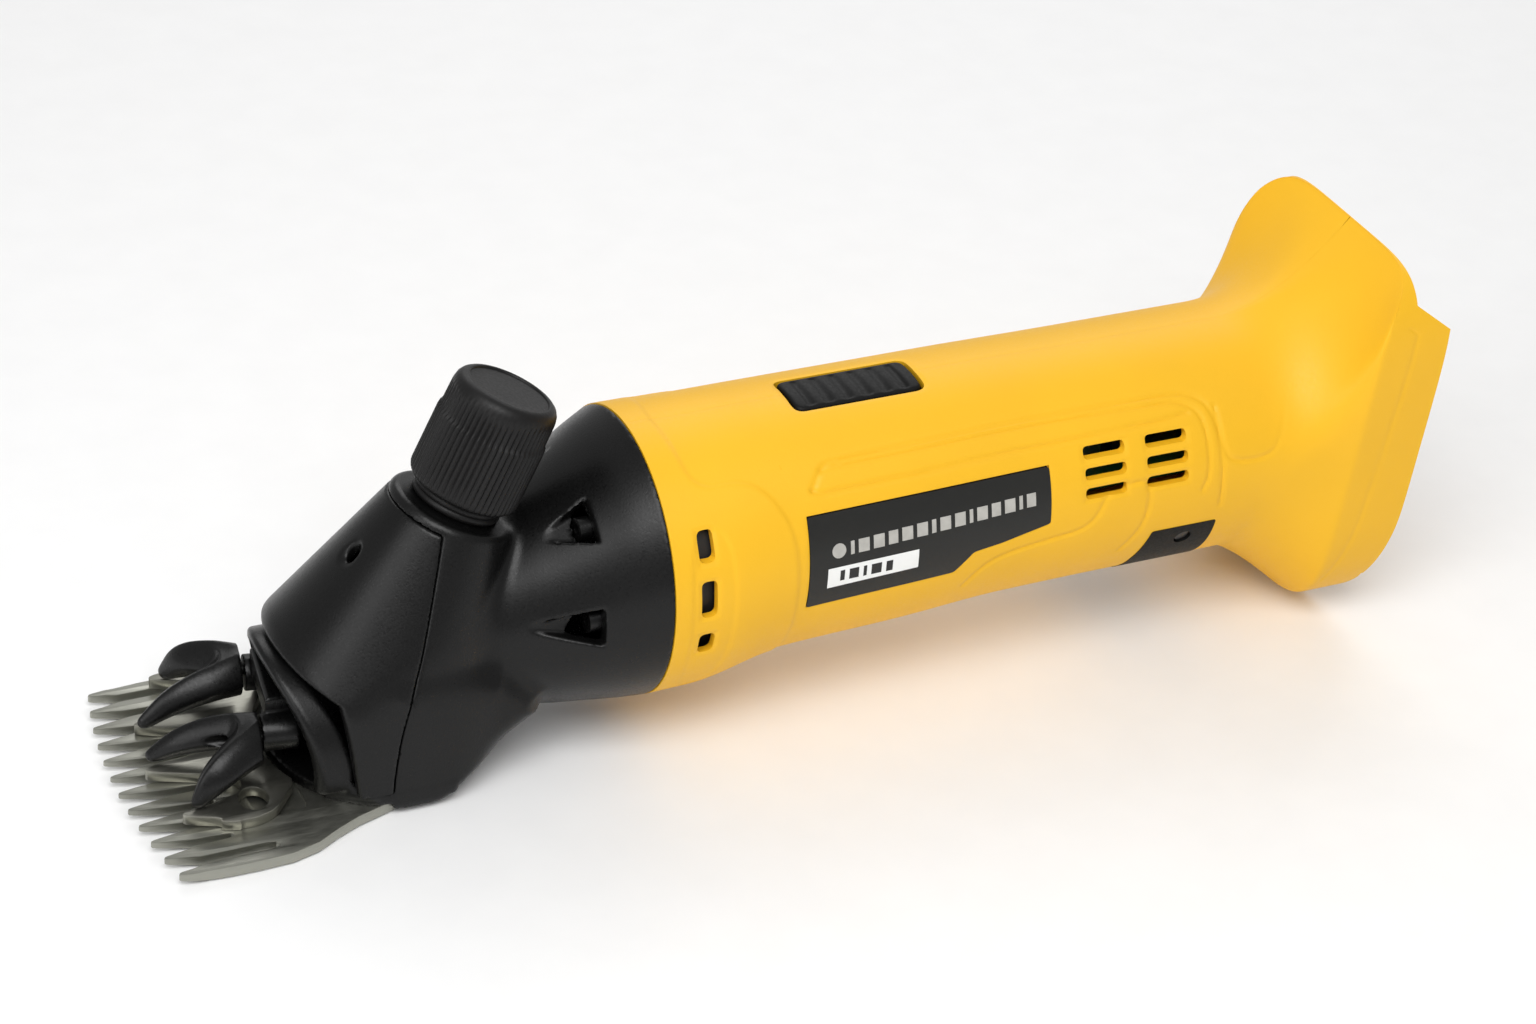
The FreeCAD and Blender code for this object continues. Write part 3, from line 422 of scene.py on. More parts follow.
def hermite(t, step, v0, v1, m0, m1):
    """Cubic from v0 to v1 with the slopes m0 and m1."""
    return ((1 + 2 * t) * (1 - t) ** 2 * v0 + t * (1 - t) ** 2 * step * m0
            + t * t * (3 - 2 * t) * v1 + t * t * (t - 1) * step * m1)


def pchip(knots, values, x):
    """Monotone cubic through the knots."""
    knots, values = np.asarray(knots, float), np.asarray(values, float)
    if knots[0] > knots[-1]:
        knots, values = knots[::-1], values[::-1]
    x = np.clip(x, knots[0], knots[-1])
    step = np.diff(knots)
    slope = np.diff(values) / step
    tangent = np.zeros(len(knots))
    tangent[0], tangent[-1] = slope[0], slope[-1]
    before, after = slope[:-1], slope[1:]
    same = before * after > 0
    tangent[1:-1][same] = 2 * before[same] * after[same] / (before[same] + after[same])
    i = np.clip(np.searchsorted(knots, x, side="right") - 1, 0, len(step) - 1)
    return hermite((x - knots[i]) / step[i], step[i], values[i], values[i + 1], tangent[i], tangent[i + 1])


def ring_at(rings, x):
    """Radius and height of centre at x, from rings of (x, radius, height of centre)."""
    places, radii, centres = zip(*rings)
    return pchip(places, radii, x), pchip(places, centres, x)


# ---------------------------------------------------------------- distance fields
def distance(*offsets):
    return np.sqrt(sum(offset * offset for offset in offsets))


def smax(a, b, r):
    """The larger of two fields, blended over r."""
    h = np.maximum(r - np.abs(a - b), 0) / r
    return np.maximum(a, b) + h * h * r * 0.25


def smin(a, b, r):
    return -smax(-a, -b, r)


def ease(t):
    t = np.clip(t, 0, 1)
    return t * t * (3 - 2 * t)


def groove(d, depth, width):
    """Depth of a rounded groove that fades with the distance d outside an outline."""
    return depth * np.exp(-(np.maximum(d, 0) / width) ** 2)


def segment_square(px, py, start, end):
    """Squared distance to a segment."""
    ex, ey = end[0] - start[0], end[1] - start[1]
    wx, wy = px - start[0], py - start[1]
    t = np.clip((wx * ex + wy * ey) / (ex * ex + ey * ey), 0, 1)
    return (wx - ex * t) ** 2 + (wy - ey * t) ** 2


def polygon_field(px, py, outline):
    """Signed distance to a closed outline, negative inside."""
    pts = np.asarray(outline, float)
    best = np.full(np.broadcast(px, py).shape, np.inf)
    inside = np.zeros(best.shape, bool)
    for start, end in zip(pts, np.roll(pts, -1, 0)):
        best = np.minimum(best, segment_square(px, py, start, end))
        rise = end[1] - start[1]
        run = start[0] + (py - start[1]) * (end[0] - start[0]) / (rise if abs(rise) > TINY else TINY)
        inside ^= ((start[1] > py) != (end[1] > py)) & (px < run)
    return np.where(inside, -1, 1) * np.sqrt(best)


def line_field(px, py, points):
    """Distance to an open line."""
    best = np.full(np.broadcast(px, py).shape, np.inf)
    for start, end in zip(points[:-1], points[1:]):
        best = np.minimum(best, segment_square(px, py, start, end))
    return np.sqrt(best)


def rod_field(x, y, z, start, end, radius):
    """Cylinder between two points with flat ends."""
    s, e = np.asarray(start, float), np.asarray(end, float)
    length = np.linalg.norm(e - s)
    u = (e - s) / length
    along = (x - s[0]) * u[0] + (y - s[1]) * u[1] + (z - s[2]) * u[2]
    square = (x - s[0]) ** 2 + (y - s[1]) ** 2 + (z - s[2]) ** 2 - along ** 2
    across = np.sqrt(np.maximum(square, 0)) - radius
    return smax(across, np.abs(along - length / 2) - length / 2, 0.4)


def box_field(x, y, z, low, high):
    sides = [np.abs(at - (a + b) / 2) - (b - a) / 2 for at, a, b in zip((x, y, z), low, high)]
    return np.maximum(np.maximum(sides[0], sides[1]), sides[2])


def cell_points(values):
    """Which cells the surface passes through, the mean crossing of each, and the crossings of each axis."""
    shape = values.shape
    cells = tuple(n - 1 for n in shape)
    total = np.zeros(cells + (3,), np.float32)
    count = np.zeros(cells, np.float32)
    crossings = []
    for axis in range(3):
        a = np.take(values, np.arange(shape[axis] - 1), axis)
        b = np.take(values, np.arange(1, shape[axis]), axis)
        cross = (a < 0) != (b < 0)
        crossings.append((cross, a < 0))
        t = np.where(cross, a / np.where(cross, a - b, 1), 0)
        index = np.indices(cross.shape, np.float32)
        one, two = [k for k in range(3) if k != axis]
        for d0, d1 in ((0, 0), (0, 1), (1, 0), (1, 1)):
            cut = [slice(None)] * 3
            cut[one] = slice(d0, d0 + cells[one])
            cut[two] = slice(d1, d1 + cells[two])
            cut = tuple(cut)
            count += cross[cut]
            for k in range(3):
                spot = index[k][cut] + (t[cut] if k == axis else 0)
                total[..., k] += np.where(cross[cut], spot, 0)
    active = count > 0
    return active, total[active] / count[active][:, None], crossings


def cell_faces(crossings, number):
    """A quad round each crossed grid edge, between the four cells that share it."""
    cells = number.shape
    faces = []
    for axis, (cross, positive) in enumerate(crossings):
        o0, o1 = [(1, 2), (2, 0), (0, 1)][axis]
        where = np.argwhere(cross)
        ok = (where[:, o0] > 0) & (where[:, o1] > 0)
        ok &= (where[:, o0] < cells[o0]) & (where[:, o1] < cells[o1])
        where = where[ok]
        quad = []
        for d0, d1 in ((1, 1), (0, 1), (0, 0), (1, 0)):
            at = where.copy()
            at[:, o0] -= d0
            at[:, o1] -= d1
            quad.append(number[tuple(at.T)])
        quad = np.stack(quad, 1)
        flip = ~positive[tuple(where.T)]
        quad[flip] = quad[flip][:, ::-1]
        faces.append(quad)
    return np.vstack(faces)


def settled(points, field, step):
    """Moves points onto the surface of the field."""
    for _ in range(SETTLE_ROUNDS):
        x, y, z = points.T
        slope = np.stack([field(x + PROBE, y, z) - field(x - PROBE, y, z),
                          field(x, y + PROBE, z) - field(x, y - PROBE, z),
                          field(x, y, z + PROBE) - field(x, y, z - PROBE)], 1) / (2 * PROBE)
        size = np.maximum((slope ** 2).sum(1), LEAST_SLOPE)
        move = -(field(x, y, z) / size)[:, None] * slope
        length = np.maximum(np.linalg.norm(move, axis=1), TINY)
        points = points + move * np.minimum(1, LONGEST_MOVE * step / length)[:, None]
    return points


def surface_net(name, field, low, high, step):
    """Closed mesh round the negative side of a distance field."""
    axes = [np.arange(a - 1.5 * step, b + 2.5 * step, step) for a, b in zip(low, high)]
    grid = np.meshgrid(*axes, indexing="ij", sparse=True)
    values = np.broadcast_to(field(*grid), [len(a) for a in axes]).astype(np.float32)
    values = np.where(np.abs(values) < 1e-6, 1e-6, values)
    active, points, crossings = cell_points(values)
    number = np.full(active.shape, -1, np.int64)
    number[active] = np.arange(int(active.sum()))
    points = points * step + np.array([a[0] for a in axes])
    return new_object(name, settled(points, field, step), cell_faces(crossings, number))


def place_net(name, field, low, high, step, body, mat, slot_name, node):
    """A blended shape in place of a CAD node."""
    piece = surface_net(name, field, low, high, step)
    place(sharpen(piece, NET_CREASE), body, mat, slot_name, node)


# ---------------------------------------------------------------- barrel and foot
SIDES = (-1, 1)
BARREL = [(0, 36.7, -1.2), (12, 36.5, -1.0), (35, 34.5, 1.5), (70, 33.9, 2.3), (100, 33.1, 3.3),
          (130, 32.9, 3.4), (166, 32.9, 3.5)]
BARREL_END, BARREL_AXIS = 166.0, 3.5
FOOT_HALF_WIDTH, FOOT_TOP, FOOT_BOTTOM = 38.0, 60.0, -43.6
SQUARENESS_ABOVE, SQUARENESS_BELOW = 5.5, 3.3
FLARE_SIDE, FLARE_CORNER, FLARE_BELOW = 1.9, 3.1, 1.45
CREASE_X, REAR_X, FOOT_LEAN = 190.0, 210.1, 0.1
SHOULDER, SHOULDER_SWEEP = 40.0, 0.02  # height above which the crease sweeps back
TUCK_BELOW, CREASE_TUCK, REAR_TUCK = -10.0, 0.003, 0.006
ROOF_FROM, ROOF_END_X = 44.0, 204.5
WING_X, WING_RUN, WING_HEIGHT = 214.5, 10.0, 7.5
BAY_FLOOR, BAY_HALF, BAY_TOP = 203.5, 32.5, 43.0
WALL, BOSS_RADIUS, SEAM_GAP = 2.6, 3.8, 0.015
RAIL_DEPTH, RAIL_NEAR, RAIL_FAR, RAIL_BOTTOM = 2.8, 4.5, 7.5, -8
MOTOR_ROOM, FAN_ROOM = (18, 92, 22.2), (-1, 16.1, 32.25)  # from, to, radius
COUNTERBORE_FROM, COUNTERBORE_RADIUS = 8, 3.1
FINE_SKIN = (0.62, 420, 44, 30)  # barrel step, columns, rows of the flare and walls
COARSE_SKIN = (2.5, 160, 16, 10)
CREASE_SPAN = 0.07  # share of the flare that the crease is softened over
NAMEPLATE = [(36.6, 18.6), (104.4, 19.5), (104.5, 4.9), (91, 2.0), (83, 1.0), (78, -4.4), (36.6, -5.7)]
PLATE_BED, PAD_BED, PRINT_BED = 1.2, 1.6, 0.46  # depths below the skin
PLATE_INSET, PAD_INSET = 0.42, 0.3
PAD = [(136, -5.0), (155, -5.0), (157, -40), (134, -40), (134, -16)]
PAD_SCREW_X, PAD_SCREW_ANGLE = 146.5, math.radians(24)
OUTSIDE = 45.0  # sideways reach of a cutter
DOT, DOT_RADIUS = (44.6, 9.3), 1.9
MARK_SLOPE, BAR_RISE = 0.055, 0.05
MARK_WIDTHS = (1.0, 3.0, 3.0, 2.6, 3.0, 3.0, 1.2, 3.0, 3.0, 1.0, 3.0, 2.6, 3.0, 1.0, 2.6)
LABEL = [(41.7, 4.9), (66.8, 5.4), (66.9, 0.2), (41.7, -0.6)]
LABEL_WIDTHS = (1.2, 2.6, 0.9, 2.8, 1.8)
SWITCH = (42.6, 79.1, 7.6)  # front, rear, half width
FRONT_VENT_X = (7, 11.2)
FRONT_VENTS = [(13.2, 20.4), (-0.6, 8.9), (-11.7, -5.7)]
SIDE_VENT_LENGTH, SIDE_VENT_HALF = 12, 1.5
SIDE_VENTS = [(x, z) for x in (114.5, 132.5) for z in (20.4, 15.5, 10.6)]
SCREW_PLACES = [(30, 26), (30, -27), (88, -24.5), (104, 27), (148, 27), (176, -22), (198.3, 40.5)]
# relief on the barrel: (x, degrees up from the side)
DEGREE = 0.5934  # girth of one degree, mm
COLLAR_PANEL = [(-5, 120), (6, 100), (7.5, 75), (9, 52), (21.5, 52), (28, 43), (33.4, 23), (33.7, -12.5),
                (34.1, -52), (31, -78), (26, -110), (-5, -110)]
VENT_PANEL = [(4.6, 22), (6.5, 34), (10.5, 37), (14.5, 33), (16.3, 22), (16.3, -20), (13.5, -42), (8.5, -52),
              (5.2, -38), (4.4, -10)]
BAND_LINES = [
    [(39.5, 40), (43, 49), (47, 51.5), (141, 51.5), (149, 49), (153.5, 40), (154.6, 15), (155, -6)],
    [(43, 47.5), (48, 48.6), (140, 48.2), (146.5, 45.5), (150.3, 38), (151, 12), (149, 4)],
    [(39.5, 40), (42, 38), (46, 38), (139, 39.5), (146, 41.5)],
    [(154, 42), (155, 21), (158, 15), (168, 14), (171.5, 20), (174.5, 38), (181, 72)],
    [(82.5, -24), (85.5, -15), (91, -9.5), (105, -6.5), (114, -5), (118, 0), (120.5, 10),
     (123.5, 13), (131, 14.5), (133.5, 12), (133, -8), (128, -24)],
]
RELIEF_STEP, LINE_DEPTH, LINE_WIDTH, LINE_FADE = 0.45, 0.42, 0.6, 10.0
COLLAR_END, RELIEF_END = 60.0, 184.0
FRONT_VENT_DENT, SIDE_VENT_DENT = (0.35, 0.45), (0.3, 0.45)  # depth, width
SWITCH_DENT, PLATE_DENT, SEAM_LINE, REAR_GROOVE = (0.35, 0.5), (0.2, 0.4), (0.08, 0.5), (0.22, 0.5)
REAR_LINE = (9.7, 0.06, 46.0, 190.0)  # inset, lean, highest z, first x


def front_vent(low, high):
    return rectangle(FRONT_VENT_X[0], low, FRONT_VENT_X[1], high)


def side_vent(x, z):
    return rectangle(x, z - SIDE_VENT_HALF, x + SIDE_VENT_LENGTH, z + SIDE_VENT_HALF)


def switch_slot():
    front, rear, half = SWITCH
    return rounded(rectangle(front, -half, rear, half), 3.0)


def crease_x(z):
    sweep = SHOULDER_SWEEP * np.maximum(0.0, z - SHOULDER) ** 2
    return CREASE_X + FOOT_LEAN * z + sweep + CREASE_TUCK * np.maximum(0.0, TUCK_BELOW - z) ** 2


def rear_x(z):
    """Rear edge of the foot, with the sloping wings and the roof's end at the top."""
    edge = REAR_X + FOOT_LEAN * z - REAR_TUCK * np.maximum(0.0, TUCK_BELOW - z) ** 2
    slope = WING_X - (z - ROOF_FROM) / WING_HEIGHT * WING_RUN
    return np.where(z > ROOF_FROM, np.maximum(ROOF_END_X, slope), edge)


def relief(x, y, z, centre):
    """Height of the moulded steps and lines above the plain skin."""
    girth = np.degrees(np.arctan2(z - centre, np.abs(y))) * DEGREE
    side_z = np.where(np.abs(y) > 15, z, 99)  # only the sides have vents
    height = np.full(x.shape, -RELIEF_STEP)

    def path(points, rounds, closed):
        return softened([(px, angle * DEGREE) for px, angle in points], rounds, closed)

    def dent(where, px, py, outline, depth, width):
        height[where] -= groove(polygon_field(px[where], py[where], outline), depth, width)

    front = x < COLLAR_END
    collar = polygon_field(x[front], girth[front], path(COLLAR_PANEL, 2, True))
    vents = polygon_field(x[front], girth[front], path(VENT_PANEL, 2, True))
    height[front] += RELIEF_STEP * (1 - ease((collar + 0.7) / 1.4))
    height[front] -= 0.6 * RELIEF_STEP * (1 - ease((vents + 0.45) / 0.9))
    for points in BAND_LINES:
        line = path(points, 3, False)
        near = (x > line[:, 0].min() - 3) & (x < line[:, 0].max() + 3)
        fade = 1 - ease((x[near] - BARREL_END) / LINE_FADE)
        height[near] -= groove(line_field(x[near], girth[near], line), LINE_DEPTH, LINE_WIDTH) * fade
    for vent in FRONT_VENTS:
        dent(front, x, side_z, front_vent(*vent), *FRONT_VENT_DENT)
    for vent in SIDE_VENTS:
        dent((x > 110) & (x < 150), x, side_z, side_vent(*vent), *SIDE_VENT_DENT)
    dent((z > 20) & (x > 38) & (x < 84), x, y, switch_slot(), *SWITCH_DENT)
    dent((y < -10) & (x > 30) & (x < 110), x, z, NAMEPLATE, *PLATE_DENT)
    return height - groove(np.abs(y), *SEAM_LINE) * (x < BARREL_END)


def raised(grid):
    """The skin with its moulded relief."""
    around = np.roll(grid, -1, 1) - np.roll(grid, 1, 1)
    normal = np.cross(around, np.gradient(grid, axis=0))
    normal /= np.maximum(np.linalg.norm(normal, axis=2, keepdims=True), TINY)
    x, y, z = grid[..., 0], grid[..., 1], grid[..., 2]
    centre = ring_at(BARREL, np.minimum(x, BARREL_END))[1]
    height = np.where(x > RELIEF_END, -RELIEF_STEP, relief(x, y, z, centre))
    inset, lean, top, first = REAR_LINE
    line_at = rear_x(z) - inset - lean * (ROOF_FROM - z)
    height = height - groove(np.abs(x - line_at), *REAR_GROOVE) * ((z < top) & (x > first))
    return grid + normal * height[..., None]


def skin_grid(inset, barrel_step, columns, flare_rows, wall_rows):
    """Rows of points round the body from the seam to the foot's rear edge."""
    angles = (np.arange(columns) + 0.5) * 2 * np.pi / columns
    c, s = np.cos(angles), np.sin(angles)
    xs = np.linspace(0, BARREL_END, max(3, int(BARREL_END / barrel_step)))[:, None]
    radius, centre = ring_at(BARREL, xs)
    radius = radius - inset
    barrel = np.stack([np.broadcast_to(xs, (len(xs), columns)), radius * c, centre + radius * s], 2)
    power = np.where(s > 0, 2 / SQUARENESS_ABOVE, 2 / SQUARENESS_BELOW)
    reach = np.where(s > 0, FOOT_TOP - inset - BARREL_AXIS, BARREL_AXIS - FOOT_BOTTOM - inset)
    foot_y = np.sign(c) * np.abs(c) ** power * (FOOT_HALF_WIDTH - inset)
    foot_z = BARREL_AXIS + np.sign(s) * np.abs(s) ** power * reach
    crease = crease_x(foot_z) + 0.5 * inset
    t = np.linspace(0, 1, flare_rows + 1)[1:, None]
    corner = (FLARE_CORNER - FLARE_SIDE) * np.abs(np.sin(2 * angles))
    below = (FLARE_SIDE - FLARE_BELOW) * s
    grown = t ** (FLARE_SIDE + np.where(s > 0, corner, below))
    ring_y, ring_z = barrel[-1, :, 1], barrel[-1, :, 2]
    flare = np.stack([BARREL_END + (crease - BARREL_END) * t, ring_y + (foot_y - ring_y) * grown,
                      ring_z + (foot_z - ring_z) * grown], 2)
    w = np.linspace(0, 1, wall_rows + 1)[1:, None]
    wall = np.stack([crease + (rear_x(foot_z) - crease) * w, foot_y + 0 * w, foot_z + 0 * w], 2)
    grid = np.concatenate([barrel, flare, wall])
    # soften the crease where the flare meets the walls, along each column
    middle = len(barrel) + flare_rows - 1
    span = max(2, int(flare_rows * CREASE_SPAN))
    for _ in range(span):
        part = grid[middle - span:middle + span + 1]
        grid[middle - span + 1:middle + span] = part[1:-1] * 0.5 + (part[:-2] + part[2:]) * 0.25
    return grid


def skin_solid(name, inset, fine=False):
    """Closed solid of everything inside the skin; the fine one has the relief."""
    grid = raised(skin_grid(inset, *FINE_SKIN)) if fine else skin_grid(inset, *COARSE_SKIN)
    faces, index = grid_faces(*grid.shape[:2])
    first, last = index[0], index[-1]
    front, back = index.size, index.size + 1
    points = np.vstack([grid.reshape(-1, 3), grid[0].mean(0), grid[-1].mean(0)])
    faces += [(front, right, here) for right, here in zip(np.roll(first, -1), first)]
    faces += [(back, here, right) for right, here in zip(np.roll(last, -1), last)]
    return outward(new_object(name, points, faces))


def screw_bosses(skin):
    """Posts for the shell screws, cut off at the skin."""
    posts = [rod_mesh("boss", (x, -40, z), (x, 40, z), BOSS_RADIUS) for x, z in SCREW_PLACES]
    post = boolean(posts[0], posts[1:], "UNION")
    return boolean(post, [duplicate(skin)], "INTERSECT")


def shell_openings():
    """Switch slot, vents, beds of the plate and pad, counterbores, and rooms for what is inside."""
    cuts = [prism_mesh("slot", [(x, y, 0) for x, y in switch_slot()], (0, 0, 30), (0, 0, 20))]
    vents = [(rounded(front_vent(*vent), 1.6), 24) for vent in FRONT_VENTS]
    vents += [(rounded(side_vent(*vent), 1.4), 20) for vent in SIDE_VENTS]
    for outline, inner in vents:
        cuts.append(side_prism("vent", outline, -OUTSIDE, -inner))
        cuts.append(side_prism("vent", outline, inner, OUTSIDE))
    plate = side_prism("plate_cut", NAMEPLATE, -OUTSIDE, 0)
    pad = side_prism("pad_cut", rounded(PAD, 1.5), -OUTSIDE, OUTSIDE)
    cuts.append(boolean(plate, [skin_solid("plate_core", PLATE_BED)], "DIFFERENCE"))
    cuts.append(boolean(pad, [skin_solid("pad_core", PAD_BED)], "DIFFERENCE"))
    for x, z in SCREW_PLACES:
        cuts.append(rod_mesh("counterbore", (x, COUNTERBORE_FROM, z), (x, 60, z), COUNTERBORE_RADIUS))
    for start, end, radius in (MOTOR_ROOM, FAN_ROOM):
        cuts.append(rod_mesh("room", (start, 0, 0), (end, 0, 0), radius, 64))
    cuts.append(box_mesh("terminal_room", *frame_box("terminal_block")))
    return cuts


def make_body(mats):
    """Both shells: skin less the room inside and the battery bay, then parted at y = 0."""
    shell = skin_solid("shell", 0.0, True)
    room = box_mesh("room", (-15, -60, -60), (BAY_FLOOR - WALL, 60, 60))
    inner = boolean(skin_solid("inner", WALL), [room], "INTERSECT")
    bay = box_mesh("bay", (BAY_FLOOR, -BAY_HALF, -70), (240, BAY_HALF, BAY_TOP))
    bosses = screw_bosses(shell)
    shell = boolean(shell, [inner, bay], "DIFFERENCE")
    shell = boolean(shell, [bosses], "UNION")
    shell = boolean(shell, shell_openings(), "DIFFERENCE")
    rails = []
    for side in SIDES:
        y0, y1 = sorted((side * (BAY_HALF - RAIL_DEPTH), side * (BAY_HALF + 1)))
        rails.append(box_mesh("rail", (BAY_FLOOR + RAIL_NEAR, y0, RAIL_BOTTOM),
                              (BAY_FLOOR + RAIL_FAR, y1, BAY_TOP - 3)))
    shell = boolean(shell, rails, "UNION")
    for side, node in ((-1, "body_shell_left"), (1, "body_shell_right")):
        y0, y1 = sorted((side * SEAM_GAP, side * 70.0))
        half = box_mesh("half", (-20, y0, -90), (260, y1, 90))
        half_shell = boolean(duplicate(shell), [half], "INTERSECT")
        half_shell.name = "moulded_" + node
        place(sharpen(half_shell, 38), "housing", mats["yellow"], "yellow_plastic", node)
    bpy.data.objects.remove(shell)


def flush(name, inset, outlines, deepest, reach):
    """Piece that lies in the skin between two depths, behind outlines seen from the left."""
    prisms = [side_prism("outline", shape, -OUTSIDE, reach) for shape in outlines]
    for other in prisms[1:]:
        take_in(prisms[0], other)
    piece = boolean(skin_solid(name, inset), [prisms[0]], "INTERSECT")
    return sharpen(boolean(piece, [skin_solid("core", deepest)], "DIFFERENCE"))


def bar_row(x, widths, gap, height, half):
    """Plain bars in a row; height gives the middle of a bar from its x."""
    bars = []
    for width in widths:
        low, high = height(x) - half, height(x) + half
        bars.append([(x, high), (x + width, high + BAR_RISE), (x + width, low + BAR_RISE), (x, low)])
        x += width + gap
    return bars


def make_plates(mats):
    """Nameplate with generic marks, and the pad under the handle."""
    outline = rounded([(x + (0.12 if x < 60 else -0.12), z * 0.985) for x, z in NAMEPLATE], 0.8)
    film = flush("nameplate_film", PLATE_INSET, [outline], PLATE_BED, -5)
    place(film, "housing", mats["plate"], "black_plastic", "nameplate")
    pad = flush("pad_moulding", PAD_INSET, [rounded(PAD, 0.7)], PAD_BED, OUTSIDE)
    for side in SIDES:
        out, down = side * math.cos(PAD_SCREW_ANGLE), -math.sin(PAD_SCREW_ANGLE)
        ends = [(PAD_SCREW_X, out * r, BARREL_AXIS + down * r) for r in (31.3, 40)]
        pad = boolean(pad, [rod_mesh("dish", *ends, 2.4)], "DIFFERENCE")
    place(sharpen(pad), "housing", mats["pad"], "rubber", "underside_pad")
    turns = np.arange(20) * math.pi / 10
    dot = [(DOT[0] + DOT_RADIUS * math.cos(a), DOT[1] + DOT_RADIUS * math.sin(a)) for a in turns]
    marks = bar_row(DOT[0] + 3.2, MARK_WIDTHS, 1.15, lambda x: DOT[1] + (x - DOT[0]) * MARK_SLOPE, 1.7)
    bars = bar_row(LABEL[0][0] + 3.4, LABEL_WIDTHS, 1.3, lambda x: 2.45, 1.45)
    for name, inset, outlines, mat in (("nameplate_dot", 0.37, [dot], "print"),
                                       ("nameplate_marks", 0.38, marks, "print"),
                                       ("nameplate_label", 0.37, [LABEL], "label"),
                                       ("label_marks", 0.33, bars, "ink")):
        place(flush(name, inset, outlines, PRINT_BED, -5), "housing", mats[mat], "black_plastic")


# ---------------------------------------------------------------- head
BELL = [(0, 36.7, -1.2), (-7, 34.6, -3.2), (-14, 32.0, -5.4), (-27, 27.3, -9.0), (-40, 22.0, -11.0),
        (-52, 19.0, -12.0)]
CAST_WALL = 3.2
KNOB_LEAN = math.radians(24.3)
COLLAR = np.array([-43.7, 0, 21.0])
KNOB_DIR = np.array([math.sin(KNOB_LEAN), 0, math.cos(KNOB_LEAN)])
COLLAR_RADIUS, CONE_SLOPE = 15.5, 0.34
CHEEK, SNOUT_BACK = 29.3, -30.0
NOSE_RADIUS, NOSE_CENTRE = 41.4, -50.1
HEAD_BOTTOM = -44.3
CHIN = [(-66, -14), (-40, -14), (-30, -22), (-29, -28), (-54, HEAD_BOTTOM), (-66, HEAD_BOTTOM)]
CHIN_TOP, CHIN_RUN, CHIN_DROP, CHIN_HALF = (-28, -24), -28, -20.3, 26.5
COVER_SEAM = [(26, -50.5), (13.9, -54.4), (-4, -60.3), (-14.5, -64.1), (-25.7, -67), (-38, -68.3),
              (-46, -68.5)]
COVER_RING, COVER_TOP = 12.7, 2.6  # clear of the neck, and below the collar
MOUTH = [(-93, -7.3), (-80.6, -14.5), (-76.9, -39.6), (-76.9, -60), (-110, -60), (-110, -7.3)]
POCKET_END, POCKET_FLOOR, POCKET_AXIS = -32.5, 25.6, -4.5
SCOOPS = [(56.0, -14.6, 13.0, 5.6), (5.0, -15.8, 20.0, 4.6)]  # degrees up, seat x, length, half width
OIL_HOLE, OIL_DISH = ((-72, -2, 25), (-66, -2, -5), 1.9), (-73.2, -2, 14.6, 3.6)
BED_TOP, COMB_TOP = -39.5, -42.5
PIVOT = -59.6
BED_RADIUS, BED_BACK = 31.5, -52.0
BAND_Z, BAND_RADIUS, BAND_HALF = -35.0, 24.0, 1.5
BAND_REACH, BAND_DEPTH, BAND_BACK, BAND_FOOT_TOP = 40.2, 3.2, -70.0, -37.0
CURTAIN_RADIUS, CURTAIN_X, CURTAIN_FOOT = 23.4, -83.5, -19.2
LIP_RADIUS, LIP_Z, LIP_ANGLE, LIP_BACK = 30.7, -39.2, 38.0, -72.0
NECK_RADIUS, NECK_DEPTH = 12.5, 11.0
SLEEVE_BORE, SLEEVE_DEPTH, PIN_BORE, PIN_DEPTH = 9.02, 10.0, 3.7, 15.0
FAR = 60.0  # takes a cut out of play


def knob_coordinates(x, y, z):
    """Height above the collar along the knob's axis, and distance from that axis."""
    along = (x - COLLAR[0]) * KNOB_DIR[0] + (z - COLLAR[2]) * KNOB_DIR[2]
    square = (x - COLLAR[0]) ** 2 + y ** 2 + (z - COLLAR[2]) ** 2 - along ** 2
    return along, np.sqrt(np.maximum(square, 0))


def bell_field(x, y, z):
    radius, centre = ring_at(BELL, x)
    skin = (distance(y, z - centre) - radius) * 0.93
    return np.maximum(smax(skin, x + 0.05, 0.8), BELL[-1][0] - x)


def head_field(x, y, z):
    """Casting and cover together, without their openings."""
    along, across = knob_coordinates(x, y, z)
    cone = (across - (COLLAR_RADIUS - CONE_SLOPE * along)) / math.sqrt(1 + CONE_SLOPE ** 2)
    nose = distance(x - NOSE_CENTRE, y) - NOSE_RADIUS
    snout = smax(smax(cone, nose, 3.0), np.abs(y) - CHEEK, 5.0)
    snout = smax(smax(snout, along, 1.6), x - SNOUT_BACK, 5.0)
    under = ((z - CHIN_TOP[1]) * CHIN_RUN - (x - CHIN_TOP[0]) * CHIN_DROP) / math.hypot(CHIN_RUN, CHIN_DROP)
    snout = smax(smax(snout, under, 2.0), HEAD_BOTTOM - z, 1.4)
    chin = smax(polygon_field(x, z, CHIN), np.abs(y) - CHIN_HALF, 7.0)
    body = smin(smin(snout, chin, 6.0), bell_field(x, y, z), 4.0)
    return np.maximum(body, HEAD_BOTTOM - z)


def seam_field(x, y, z):
    """Negative in front of the joint between the casting and its cover."""
    along, across = knob_coordinates(x, y, z)
    heights, places = zip(*COVER_SEAM)
    line = pchip(heights, places, z)
    return np.maximum(np.maximum((x - line) * 0.94, along + COVER_TOP), COVER_RING - across)


